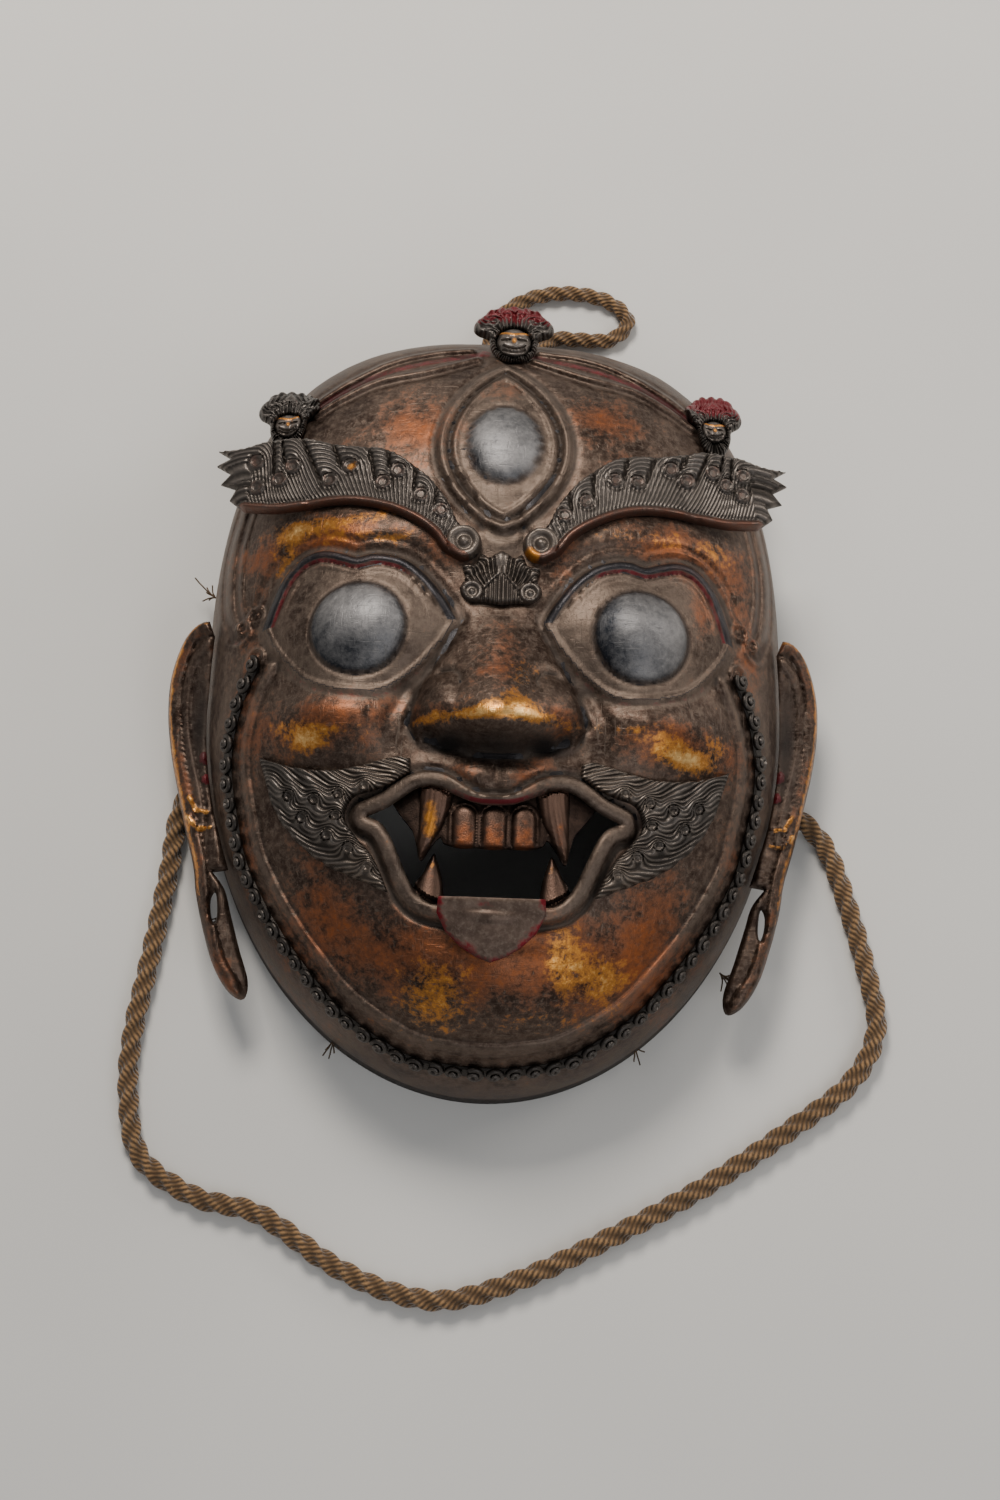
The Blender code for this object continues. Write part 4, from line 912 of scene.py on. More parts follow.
def rope_tube(line, diameter, around=30):
    """Points, faces, lengths along the line and depths of a laid rope whose strands wind round the line."""
    sides, ups = rope_frames(line)
    steps = np.concatenate([[0], np.cumsum(np.linalg.norm(np.diff(line, axis=0), axis=1))])
    turns = np.arange(around) / around * 2 * math.pi
    half_turn = math.pi / STRANDS
    strand = diameter / 2 * math.sin(half_turn) / (1 + math.sin(half_turn))
    out = diameter / 2 - strand
    twist = steps / (LAY_LENGTH * diameter) * 2 * math.pi
    phase = (turns[None, :] - twist[:, None]) % (2 * half_turn) - half_turn
    reach = out * np.cos(phase) + np.sqrt(np.clip(strand ** 2 - (out * np.sin(phase)) ** 2, 0, None))
    reach = np.maximum(reach, diameter / 2 * GROOVE_SHARE)
    places = (line[:, None] + sides[:, None] * (reach * np.cos(turns))[..., None]
              + ups[:, None] * (reach * np.sin(turns))[..., None])
    count = len(line)
    faces = []
    for k in range(count - 1):
        for j in range(around):
            a, b = k * around + j, k * around + (j + 1) % around
            faces.append((a, b, b + around, a + around))
    faces.append(tuple(range(around))[::-1])
    faces.append(tuple(range((count - 1) * around, count * around)))
    deep = 1 - (reach / (diameter / 2) - GROOVE_SHARE) / (1 - GROOVE_SHARE)
    return places.reshape(-1, 3), faces, steps, np.clip(deep, 0, 1).ravel()


def add_rope(manner, node, line, diameter, finish, around=30):
    """A laid rope along a line for a CAD node, with UVs that follow its yarns."""
    verts, faces, steps, deep = rope_tube(np.array(line, float), diameter, around)
    piece = new_piece(f"{manner}_{node}", verts, faces, finish)
    layer = piece.data.uv_layers.new(name="yarn")
    ring = np.arange((len(line) - 1) * around)
    low, high = steps[ring // around] * YARN_ALONG, steps[ring // around + 1] * YARN_ALONG
    turn, next_turn = ring % around / around * YARNS_AROUND, (ring % around + 1) / around * YARNS_AROUND
    corner = np.stack([low, turn, low, next_turn, high, next_turn, high, turn], 1).ravel()
    layer.data.foreach_set("uv", np.concatenate([corner, np.zeros(4 * around)]).astype(np.float32))
    paint(piece, "deep", deep)
    settle(piece, (node,))
    return piece


def turks_head(centre, radius, tube, leads=3, bights=5):
    """A line woven round a ball like a stopper knot."""
    t = np.linspace(0, 2 * math.pi * leads, 50 * leads + 1)
    wave = bights * t / leads
    out = (radius - tube) * (0.72 + 0.2 * np.cos(wave))
    rise = (radius - tube) * 0.82 * np.sin(wave)
    return np.stack([out * np.cos(t), out * np.sin(t), rise], 1)[:-1] + centre


def declare_cord(line, exit_at):
    """Turn a rope's line and its exit place into metres in the frame, and keep neither."""
    path = placed(line)
    tuple(placed(exit_at))
    [tuple(p) for p in path]


def add_carry_rope(finish):
    """The long carrying rope from knot to knot through both side holes."""
    line = smooth_line(ROPE_ROUTE, ROPE_POINTS)
    rope = add_rope("laid", "carry_rope", line, ROPE_DIAMETER, finish)
    away = KNOT_DIAMETER / 2 + SEAT_GAP
    for (side, name), start in zip(SIDES, (ROPE_ROUTE[0], ROPE_ROUTE[-1])):
        centre = (start[0] - side * ROPE_WAY[0] * away, start[1] + ROPE_WAY[1] * away, KNOT_DIAMETER / 2)
        woven = turks_head(np.array(centre), KNOT_DIAMETER / 2 - 0.2, KNOT_CORD / 2)
        woven = np.concatenate([woven, woven[:2]])
        add_rope("tied", f"rope_knot_{name}", woven, KNOT_CORD, finish, around=18)
    declare_cord(line, (-ROPE_HOLE[0], ROPE_HOLE[1], HOLE_HEIGHT))


def add_hanging_loop(finish):
    """The short loop at the crown, held inside by one knot."""
    line = smooth_line(LOOP_ROUTE, LOOP_POINTS)
    loop = add_rope("laid", "hanging_loop", line, LOOP_DIAMETER, finish, around=24)
    drop = LOOP_DIAMETER + SEAT_GAP
    middle = np.array([sum(LOOP_HOLES) / 2, LOOP_ROUTE[0][1] - drop, drop])
    t = np.linspace(-1, 1, 120)
    turn = t * 5 * math.pi
    wound = [LOOP_KNOT_HALF * t, LOOP_KNOT_COIL * np.cos(turn), LOOP_KNOT_COIL * np.sin(turn)]
    knot = add_rope("tied", "loop_knot", np.stack(wound, 1) + middle, LOOP_KNOT_CORD, finish, around=18)
    declare_cord(line, LOOP_ROUTE[1])


# The raised face

FINE_STEP = 1.05
PLAIN_STEP = 2.5
INNER_STEP = 3.4
INNER_PLAIN_STEP = 7.0
RIM_SPACING = 3.2
HEM_WIDTH = 4.0
CREASE_REACH = 4.5
CREASE_DEPTH = 1.6
# Distance from a lid line that is too far for the finish to ink
NO_LID = 9
FACE_MARKS = ("rub", "warm", "lacquer", "seam", "lid", "dusty", "pewter", "tarnish", "soot_and_shade")

# Worn gilding on the drawn face, painted paler as a highlight on its strongest spots: x, y, reach across, reach
# along, strength
GOLD_SPOTS = (
    (0, -15.5, 34, 3.4, 1.15), (5, -10, 17, 4.5, 0.55), (10, 6, 8, 15, 0.6), (-32, -14, 9, 4, 0.3),
    (-90, -21, 10, 7, 1.1), (-104, -14, 11, 6, 0.55), (-70, -18, 16, 4, 0.45), (94, -25, 13, 5, 1.15),
    (80, -20, 15, 8, 0.62), (108, -16, 8, 7, 0.6), (60, -13, 18, 4, 0.4), (55, -130, 17, 13, 0.9),
    (34, -122, 9, 20, 0.75), (-26, -138, 19, 14, 0.72), (-106, 76, 8, 20, 0.7), (-92, 88, 22, 6, 0.8),
    (-62, 80, 24, 4, 0.6), (-60, 92, 30, 4, 0.45), (72, 86, 26, 5, 0.55), (108, 84, 14, 12, 0.55),
    (0, -152, 62, 9, 0.3),
)
WARM_SPOTS = (
    (-45, 140, 26, 20, 0.75), (48, 150, 26, 18, 0.7), (-84, -96, 22, 38, 0.62), (80, -104, 24, 36, 0.62),
    (-18, -38, 14, 9, 0.5), (19, -41, 13, 11, 0.7), (-123, 30, 12, 50, 0.5), (121, 43, 12, 44, 0.55),
    (-28, 76, 15, 20, 0.5), (27, 70, 15, 20, 0.55), (-43, -120, 40, 22, 0.5), (45, -125, 42, 24, 0.6),
    (2, 14, 16, 24, 0.55), (-88, 82, 36, 16, 0.85), (88, 82, 36, 16, 0.85), (-92, -16, 34, 14, 0.75),
    (88, -18, 38, 14, 0.85), (100, 50, 8, 18, 0.6), (0, 168, 12, 9, 0.75), (0, -128, 60, 24, 0.5),
    (62, 122, 12, 12, 0.5), (-26, -14, 10, 7, 0.55), (30, -13, 9, 7, 0.55), (-58, -8, 22, 8, 0.4),
    (-120, -60, 9, 34, 0.45), (118, -62, 9, 30, 0.45),
)
TARNISH_SPOTS = (
    (-73, 17, 17, 9, 0.75), (-88, 30, 6, 15, 0.4), (52, 32, 7, 15, 0.8), (62, 20, 12, 7, 0.5),
    (60, 46, 9, 7, 0.3), (80, 44, 8, 8, 0.3), (2, 146, 12, 6, 0.45), (-14, 126, 5, 9, 0.35),
)


def rim_hole(at, way, height, radius, count=22):
    """Flat places of the edge of a rope hole that pierces the steep side of the face."""
    turns = np.linspace(-math.pi, math.pi, 7201)
    reach = rim_radius(turns)
    edge = np.stack([reach * np.cos(turns), FACE_CENTRE_Y + reach * np.sin(turns)], 1) - at
    near = np.hypot(*edge.T) < radius * 3
    across = edge[near] @ np.array((-way[1], way[0]))
    order = np.argsort(across)
    places = []
    for turn in np.arange(count) / count * 2 * math.pi:
        angle = np.interp(radius * math.cos(turn), across[order], turns[near][order])
        high = height + radius * math.sin(turn)
        steep = math.acos((high / DOME_HEIGHT) ** (DOME_SQUARE / 2)) / (math.pi / 2)
        out = steep * float(rim_radius(angle)) * FLAT_STRETCH
        places.append((out * math.cos(angle), out * math.sin(angle)))
    return np.array(places)


def is_chased(x, y):
    """Whether a place carries relief that needs the fine net."""
    side = np.abs(x)
    near_eye = distance_to(EYE_LINE, side, y, closed=True) < 14
    on_iris = np.abs(np.hypot(side - IRIS_AT[0], y - IRIS_AT[1]) - IRIS_RADIUS) < 3.5
    near_third = distance_to(THIRD_EYE_LINE, x, y, closed=True) < 10
    near_mouth = distance_to(MOUTH_LINE, x, y, closed=True) < 13
    on_nose = (side < 46) & (y > -40) & (y < 40)
    on_band = np.zeros(len(x), bool)
    for line in HEADBAND_LINES:
        on_band |= distance_to(line, side, y) < 6
    on_band |= distance_to(TEMPLE_LINE, side, y) < 9
    on_ledge = np.abs(distance_to(FULL_CURL_LINE, x, y) - LEDGE_AWAY) < 5
    on_curl = np.hypot(side - 123, y - 37) < 19
    return near_eye | on_iris | near_third | near_mouth | on_nose | on_band | on_ledge | on_curl


def curved_height(u, v):
    """Plan places and heights of flat places on the outer skin."""
    x, y, dome = from_flat(u, v)
    dome = np.where(dome < 1e-4, 0, dome)
    return np.stack([x, y, face_height(x, y, dome)], 1), np.stack([x, y, dome], 1)


def hollow_share(x, y, z, tree):
    """How deep each place lies in a crease, from 0 to 1, for the dust that gathers there and the shade painted
    there.
    """
    away = np.zeros(len(x))
    for turn in np.arange(8) / 8 * 2 * math.pi:
        reach_x, reach_y = CREASE_REACH * math.cos(turn), CREASE_REACH * math.sin(turn)
        away += skin_heights(tree, x + reach_x, y + reach_y, 0) / 8
    return np.clip((away - z) / CREASE_DEPTH, 0, 1)


def add_face(finish):
    """The raised face: fine outer skin, plainer inner skin, hem, open mouth and rope holes."""
    count = 2 * round(math.pi * (HALF_WIDTH + CROWN_REACH) / 2 * FLAT_STRETCH / RIM_SPACING)
    turns = np.arange(count) / count * 2 * math.pi
    reach = rim_radius(turns) * FLAT_STRETCH
    rim = np.stack([reach * np.cos(turns), reach * np.sin(turns)], 1)
    loops = [rim, np.stack(to_flat(*MOUTH_LINE.T), 1)]
    radius = ROPE_DIAMETER / 2 + HOLE_CLEARANCE
    for side in (-1, 1):
        at = (side * ROPE_HOLE[0], ROPE_HOLE[1])
        loops.append(rim_hole(at, (side * ROPE_WAY[0], -ROPE_WAY[1]), HOLE_HEIGHT, radius))
    radius = LOOP_DIAMETER / 2 + HOLE_CLEARANCE
    for x in LOOP_HOLES:
        loops.append(rim_hole((x, CROWN_REACH + FACE_CENTRE_Y), (0, 1), LOOP_ROUTE[0][2], radius))

    def chased(u, v):
        return is_chased(*from_flat(u, v)[:2])

    def plain(u, v):
        return ~chased(u, v)

    flat, faces = filled_net(loops, [(FINE_STEP, chased), (PLAIN_STEP, plain)])
    inner_flat, inner_faces = filled_net(loops, [(INNER_STEP, chased), (INNER_PLAIN_STEP, plain)])
    outer, _ = curved_height(*flat.T)
    outer[:count, 2] = 0
    lined, dome = curved_height(*inner_flat.T)
    lined[:count, 2] = 0
    dome[:count, 2] = 0
    lean = vertex_normals(lined, inner_faces) + vertex_normals(dome, inner_faces)
    lean = lean / np.linalg.norm(lean, axis=1, keepdims=True)
    inner = lined - bpy.context.scene.mask_sizes.wall / MM * lean
    inward = lean[:count] * (1, 1, 0)
    inward = inward / np.linalg.norm(inward, axis=1, keepdims=True)
    inner[:count] = lined[:count] - HEM_WIDTH * inward
    verts, skin = closed_skin(outer, faces, inner, inner_faces)
    piece = add_piece("raised_copper_face", verts, skin, finish, ("face_shell",), crease=60)
    tree = BVHTree.FromPolygons([tuple(v) for v in outer], [tuple(f) for f in faces.tolist()])
    paint_face(piece, outer, len(inner), tree)
    return tree


def paint_face(piece, outer, rest, tree):
    """Marks of wear, copper, lacquer, pewter, soot and painted shade on the points of the face."""
    x, y, z = outer.T
    side = np.abs(x)
    hollow = hollow_share(x, y, z, tree)
    rub = spots(x, y, GOLD_SPOTS)
    warm = spots(x, y, WARM_SPOTS) * (1 - 0.6 * hollow)
    eye = signed_distance(EYE_LINE, side, y)
    third = signed_distance(THIRD_EYE_LINE, x, y)
    iris = np.hypot(side - IRIS_AT[0], y - IRIS_AT[1]) - IRIS_RADIUS
    third_iris = third_iris_reach(x, y) - THIRD_IRIS_RADIUS
    pewter = np.clip(0.2 - np.minimum(iris, third_iris), 0, 1)
    ringed = np.minimum(np.abs(iris), np.abs(third_iris))
    tarnish = spots(x, y, TARNISH_SPOTS) + 0.5 * soft(ringed, 2.5)
    upper_lid = (y > UPPER_LID_FROM) & (np.abs(eye) < 9)
    lid = np.where(upper_lid, eye - 0.3, np.where(eye < 0.3, -NO_LID, NO_LID))
    upper, lower = (distance_to(smooth_line(line, 3), side, y) for line in HEADBAND_LINES)
    temple = distance_to(smooth_line(TEMPLE_LINE, 3), side, y)
    lip = distance_to(MOUTH_LINE, x, y, closed=True)
    seams = (
        (eye + 2.7, 0.5 * (y > UPPER_LID_FROM) * ease((side - 36) / 14)),
        (eye - 2.6, 0.3 * (y < 16)),
        ((upper - lower) / 4, 0.46 * (upper < 11) * (lower < 11)),
        (temple - 3.6, 0.26),
        (lip - 1.0, 0.75 * (y > -57) * bell(x, y, (0, -52), 24, 20)),
    )
    seam = np.full(len(x), 4.0)
    lacquer = np.zeros(len(x))
    for away, share in seams:
        nearer = (np.abs(away) < np.abs(seam)) & (share > 0.05)
        seam = np.where(nearer, away, seam)
        lacquer = np.where(nearer, share * (np.abs(away) < 3.2), lacquer)
    dusty = np.maximum.reduce([
        0.5 * (eye < 5) * ease(iris / 2) * (1 - 0.8 * bell(side, y, (101, 44), 9, 20)),
        0.5 * (third < 5) * ease(third_iris / 2), 0.5 * ease((9.5 - lip) / 3),
        0.55 * bell(x, y, (0, 84), 22, 20), 0.45 * bell(side, y, (36, 24), 12, 22), 0.5 * hollow,
        0.5 * np.clip(1 - np.abs(distance_to(FULL_CURL_LINE, x, y) - LEDGE_AWAY) / 4, 0, 1),
    ])
    # Painted shade: near black in the creases and on the low sides near the rim, less where the gilding is
    # rubbed.
    painted_shade = np.clip(0.62 * hollow + 0.3 * ease(1 - z / 30), 0, 1) * (1 - np.clip(0.8 * rub, 0, 0.8))
    # A dark ring in the groove round each iris.
    rings = np.clip(1 - np.minimum(np.abs(iris - 0.6), np.abs(third_iris - 0.6)) / 1.5, 0, 1)
    # Painted shade under the nose: dark on the nostrils and across the underside of the tip.
    nostril = bell(side, y, (25, -24.5), 10, 3.5) + 0.8 * bell(x, y, (0, -27), 20, 4)
    soot_and_shade = np.maximum.reduce([painted_shade, rings * 0.8, np.clip(nostril, 0, 1)])
    rub = rub * (1 - 0.7 * hollow)
    for name, values in zip(FACE_MARKS, (rub, warm, lacquer, seam, lid, dusty, pewter, tarnish, soot_and_shade)):
        # The inside of the face is painted a little darker.
        inside_value = 0.45 if name == "soot_and_shade" else 0
        paint(piece, name, np.concatenate([values, np.full(rest, inside_value)]))


# Brows, moustaches and crest

BROW_HOOKS = {
    -1: ((124, 126), (123, 112.5), (112, 115.3), (105.5, 121.7), (86.5, 113.6), (76.5, 120.4), (59.6, 109.8),
         (52.4, 115.9), (40.7, 101.8), (30.6, 93.3)),
    1: ((121, 127), (120.5, 117), (112, 120.4), (105, 126), (91.9, 120.1), (83.5, 125.6), (66.5, 115.3),
        (55.3, 114.8), (40.9, 101.4), (30.1, 92.6)),
}
BROW_CURL_AT = (18.8, 77.4)
BROW_GILT = ((-75.5, 119.6, 3.4, 3.4, 0.7), (14, 71, 5, 5, 0.9))
BROW_END = ((20.5, 86.3), (15.9, 85.9), (11.4, 82), (10, 77.4), (11.3, 72.8), (14.8, 69.4), (20, 68.3))
TRIM_STEP = 0.62
TRIM_MARKS = ("crest", "hair", "haired", "rub", "gilt", "lacquer", "dusty")
# Real hairs are 1.3 to 1.8 mm apart, drawn a little wider so that they show
STRAND = 1.9
MOUSTACHE_STRAND = 1.75
CREST_FLAMES = ((17, 63), (9, 69))
BROW_TIPS = (
    (144, 135), (137, 130), (144.5, 127), (137, 122), (142, 117), (134, 113.5), (137, 108), (129, 101),
)
MOUSTACHE_SPINE = ((108, -34), (88, -52), (66, -60))
MOUSTACHE_CURLS = ((99.5, -46.6), (86.7, -49.4), (74.9, -47.5), (62.5, -44.5), (92.6, -57.4), (76, -57.8),
                   (80, -66.7), (69.5, -73.7), (60, -82.5))
RING_RADIUS = 4.0
RIM_WIDTH = 4.4
BROW_CURL_RADIUS = 8.6
COMMA_RADIUS = 2.9


def brow_relief(x, y, side):
    """Hair combed in locks that arch over, each ending in a ring, above a rolled rim: relief and marks."""
    near = np.abs(x)
    lower = smooth_line(BROW_LOWER, 2)
    length = path_length(lower)

    def combed(px, py):
        """Height above the rim, and the place along it where the hair at a point is rooted."""
        away, along, _ = nearest_on(lower, px, py)
        return away, 0.3 * away + 4 * (1 - np.exp(-away / 8)) + along - length

    hooks = np.array(BROW_HOOKS[side], float)
    up, root = combed(near, y)
    hook_up, hook_root = combed(hooks[:, 0], hooks[:, 1])
    order = np.argsort(hook_root)
    cuts = hook_root[order] - 3.6
    starts = hook_up[order]
    place = np.clip(np.searchsorted(cuts, root) - 1, 0, len(cuts) - 1)
    from_cut = root - cuts[place]
    over = np.maximum(up - starts[place], 0) * (root > cuts[0])
    arch = np.hypot(from_cut - 3.6, 0.8 * over) - (from_cut - 3.6)
    phase = (root + np.where(over > 0, arch, 0)) / STRAND
    ends = np.concatenate([cuts[1:], [cuts[-1] + 14]])
    share = np.clip(from_cut / (ends[place] - cuts[place]), 0, 1)
    lock = ease((up - starts[place] + 5) / 9)
    cut = np.zeros(len(x))
    for c, s in zip(cuts, starts):
        cut = np.maximum(cut, soft(root - c, 0.85) * ease((up - s + 1) / 3))
    hair = np.ones(len(x))
    rise = 0.9 + 1.2 * lock * np.sin(share * math.pi) ** 0.8 - 1.5 * cut
    ringed = np.zeros(len(x), bool)
    for hook_x, hook_y in hooks:
        reach = np.hypot(near - hook_x, y - hook_y)
        open_side = 0.45 + 0.55 * ease(((hook_y - y) - (near - hook_x) + 4) / 5)
        ring = 0.3 + ridge(reach - 3.1, 1.0, 1.7) * open_side
        rise = np.where(reach < RING_RADIUS, ring, rise + groove(reach, 4.9, 0.8, 0.6))
        hair = np.where(reach < RING_RADIUS + 0.2, 0, hair)
        ringed |= reach < RING_RADIUS
    on_rim = up < RIM_WIDTH
    rise = np.where(on_rim, ridge(up - 2.1, 2.4, 2.9), rise + groove(up, 5, 0.9, 0.5))
    hair = np.where(up < RIM_WIDTH + 0.5, 0, hair)
    reach = np.hypot(near - BROW_CURL_AT[0], y - BROW_CURL_AT[1])
    curl = 1.3 + ridge(reach, 2.8, 1.9) + ridge(reach - 6.4, 2.3, 1.5) + groove(reach, 3.6, 0.8, 0.3)
    rise = np.where(reach < BROW_CURL_RADIUS, curl, rise)
    hair = np.where(reach < BROW_CURL_RADIUS + 0.2, 0, hair) * (1 - cut)
    curled = (reach < BROW_CURL_RADIUS) & ~((reach > 5) & on_rim)
    return rise, {"hair": phase, "haired": hair, "rim": on_rim & (reach > 5), "cut": cut, "ring": ringed,
                  "curl": curled}


def add_brow(side, name, tree, finish):
    """A combed brow, riveted on, that stands free of the temple at its outer end."""
    upper = rippled(smooth_line(BROW_UPPER, 1.2), 1.2, 3.8, -0.5)
    inner = smooth_line(BROW_END, 1.2)[1:-1]
    lower = smooth_line(BROW_LOWER[::-1], 1.2)
    tips = np.array(BROW_TIPS[::-1][1:-1], float)
    outline = np.concatenate([upper, inner, lower, tips]) * (side, 1)
    free_line = np.array(BROW_FREE_HEIGHT, float)

    def relief(x, y):
        return brow_relief(x, y, side)

    def free(x, y):
        return np.interp(np.abs(x), free_line[:, 0], free_line[:, 1])

    piece, x, y, rise, marks = add_plate(f"brow_{name}", outline, relief, 3.2, tree, finish, free)
    mark_trim(piece, crest=np.clip(0.5 + 0.1 * (rise - 1.6), 0, 1) * (1 - 0.9 * marks["cut"]),
              hair=marks["hair"], haired=marks["haired"], gilt=spots(x, y, BROW_GILT),
              rub=np.where(marks["rim"], 0.62, 0.34 * marks["ring"]), dusty=0.22 + 0.6 * marks["curl"])


def mark_trim(piece, **values):
    """Store the marks that the trim's finish reads, at zero where none is given."""
    for name in TRIM_MARKS:
        paint(piece, name, values.get(name, 0))


def flat_of(piece):
    """Drawn plan places of a finished piece's points."""
    places = np.empty(len(piece.data.vertices) * 3, np.float32)
    piece.data.vertices.foreach_get("co", places)
    places = places.reshape(-1, 3).astype(float) / MM
    return places[:, 0], places[:, 1] - FRAME_SHIFT


def moustache_relief(x, y):
    """Wavy hair that runs out to the tip, with eddies round small commas: relief and its marks."""
    near = np.abs(x)
    up = distance_to(smooth_line(MOUSTACHE_UPPER, 2), near, y)
    down = distance_to(smooth_line(MOUSTACHE_LOWER, 2), near, y)
    across = (up - down) / 2
    phase = across / MOUSTACHE_STRAND + 0.45 * np.sin(near / 5.5 + across / 9)
    groups = np.cos(2 * math.pi * (across / 8.5 + near / 30 + 0.15 * np.sin(near / 8)))
    hair = np.clip((up + down - 1) / 3, 0, 1)
    rise = 1.1 + 0.7 * groups * hair + ridge(up, 1.5, 0.7)
    rise = rise + ridge(distance_to(MOUSTACHE_SPINE, near, y), 26, 2.0)
    for at_x, at_y in MOUSTACHE_CURLS:
        reach = np.hypot(near - at_x, y - at_y)
        phase = phase + 2.9 * soft(reach, 3.6)
        comma = 1.3 + ridge(reach - 2.1, 0.9, 1.1) + 0.8 * soft(reach, 4.5)
        rise = np.where(reach < COMMA_RADIUS, comma, rise + 0.9 * soft(reach, 5))
        hair = np.where(reach < COMMA_RADIUS - 0.3, 0.2, hair)
    return rise, {"hair": phase, "haired": hair, "groups": groups}


def add_moustache(side, name, tree, finish):
    """A moustache plate swept from the lip to a point on the cheek."""
    upper = smooth_line(MOUSTACHE_UPPER, 1.3)
    inner = smooth_line(MOUSTACHE_INNER, 1.3)
    lower = rippled(smooth_line(MOUSTACHE_LOWER, 1.3), 1.3, 12, 0.7)
    outline = np.concatenate([upper, inner, lower]) * (side, 1)
    piece, x, y, rise, marks = add_plate(f"moustache_{name}", outline, moustache_relief, 1.6, tree, finish)
    near_lip = bell(np.abs(x), y, (52, -40), 26, 26) + bell(np.abs(x), y, (56, -84), 16, 14)
    mark_trim(piece, crest=np.clip(0.24 + 0.12 * marks["groups"] + 0.08 * (rise - 2), 0, 1),
              hair=marks["hair"], haired=marks["haired"], rub=0.1,
              dusty=np.clip(0.12 + 0.8 * near_lip, 0, 1))


def crest_relief(x, y):
    """Ribbed triangular boss under a fan of flame hair, between two coils: relief and its marks."""
    near = np.abs(x)
    tall = np.clip((y - 47) / 15.5, 0, 1)
    half = 11.5 * (1 - tall ** 1.4) + 0.01
    boss = np.clip(near / half, 0, 1)
    on_boss = (near < half) & (y < 62.5)
    turned_x, turned_y = swirled(near, y, CREST_FLAMES, 4.0, 1.6)
    turn = np.arctan2(turned_y - 44, turned_x + 0.01)
    phase = np.where(on_boss, near / 2.1 + 0.5, turn * 9.5)
    rise = np.where(on_boss, 1.4 + 1.6 * np.sqrt(1 - boss ** 2), 1.2 + 0.6 * waves(x, y, 9, 4))
    line = np.abs(near - half * 1.02 - 1.2)
    rise = np.where(~on_boss & (y < 66), rise + ridge(line, 1.1, 1.3), rise)
    hair = np.where(line < 1.2, 0.2, 1.0)
    reach = np.hypot(near - 14.2, y - 53)
    coil = 0.9 + ridge(reach, 1.6, 1.3) + ridge(reach - 4.1, 1.4, 1.9)
    rise = np.where(reach < 5.6, coil, rise)
    hair = np.where(reach < 5.8, 0, hair)
    return rise + 0.45 * np.cos(2 * math.pi * phase) * hair, {"hair": phase, "haired": hair}


def add_crest(tree, finish):
    """The tuft of flame hair with two coils at the root of the nose."""
    outline = smooth_line(mirrored(CREST), 1.2, closed=True)
    made = add_plate("nose_crest", outline, crest_relief, 1.4, tree, finish, back_step=SMALL_BACK_STEP)
    piece, x, y, rise, marks = made
    mark_trim(piece, crest=np.clip(0.2 + 0.2 * rise, 0, 1), dusty=0.55, rub=0.15, **marks)


# Skull finials

SKULL_BACK = 60.0
SKULL_FAN = (
    (0, 1), (0.1, 0.98), (0.17, 0.92), (0.26, 0.98), (0.38, 0.98), (0.46, 0.88), (0.58, 0.86), (0.68, 0.76),
    (0.76, 0.62), (0.88, 0.54), (0.97, 0.36), (0.99, 0.14), (0.88, -0.02), (0.72, -0.1), (0.6, -0.2),
    (0.56, -0.5), (0.42, -0.78), (0.26, -0.94), (0, -1),
)
SKULL_CURLS = ((14.5, 4.5), (11, 14), (4, 19))
SKULL_DRAWN_WIDTH = 42


def skull_relief(x, y, centre, width):
    """A grinning skull under a fan of flame hair, with gold brows: relief and its marks."""
    size = width / SKULL_DRAWN_WIDTH
    u, v = (x - centre[0]) / size, (y - centre[1]) / size + 7
    side = np.abs(u)
    face_in = 1 - (side / 9.4) ** 2 - (v / 10.6) ** 2
    brow = soft(v - 3.6 - 0.28 * side, 1.0) * (side < 8)
    lid = bell(side, v, (3.9, 1.5), 2.3, 1.2)
    slit = soft(v - 0.1 - 0.06 * (side - 4) ** 2, 0.6) * (np.abs(side - 4) < 2.6)
    nose = bell(side, v, (0, -1.0), 1.4, 2.1)
    cheek = bell(side, v, (5.6, -2.6), 2)
    smile = v + 5.4 - 0.06 * side ** 2
    grin = (soft(smile, 0.6) + 0.7 * soft(smile + 2.4, 0.6)) * (side < 6)
    tooth = soft(smile + 1.2, 0.8) * (side < 5.5) * np.cos(math.pi * u / 1.9) ** 2
    face = 6.6 * np.clip(face_in, 0, 1) ** 0.5 + 1.5 * brow + 1.1 * lid - 1.6 * slit + 2.2 * nose + cheek
    face = face - 1.6 * grin + 0.8 * tooth
    turned_u, turned_v = swirled(side, v, SKULL_CURLS, 4.6, 2.2)
    turn = np.arctan2(turned_v + 3, turned_u)
    phase = turn * 7
    hair = 1.0 + 4.2 * np.clip(1 - (u / 22) ** 2 - ((v - 9) / 20) ** 2, 0, 1) ** 0.5
    hair = hair + np.cos(turn * 11) + 0.5 * np.cos(2 * math.pi * phase)
    for at_u, at_v in SKULL_CURLS:
        reach = np.hypot(side - at_u, v - at_v)
        hair = np.where(reach < 3.4, 3.4 + ridge(reach - 2.6, 1.1, 1.5) + ridge(reach, 1.1, 1.0), hair)
    rise = np.where(face_in > 0, face, hair) * size + groove(face_in, 0, 0.12, 1.4)
    share = np.clip(face_in * 5, 0, 1)
    dark = np.clip(slit + grin, 0, 1)
    return rise, {"face": share, "brow": brow, "nose": nose, "dark": dark, "hair": phase}


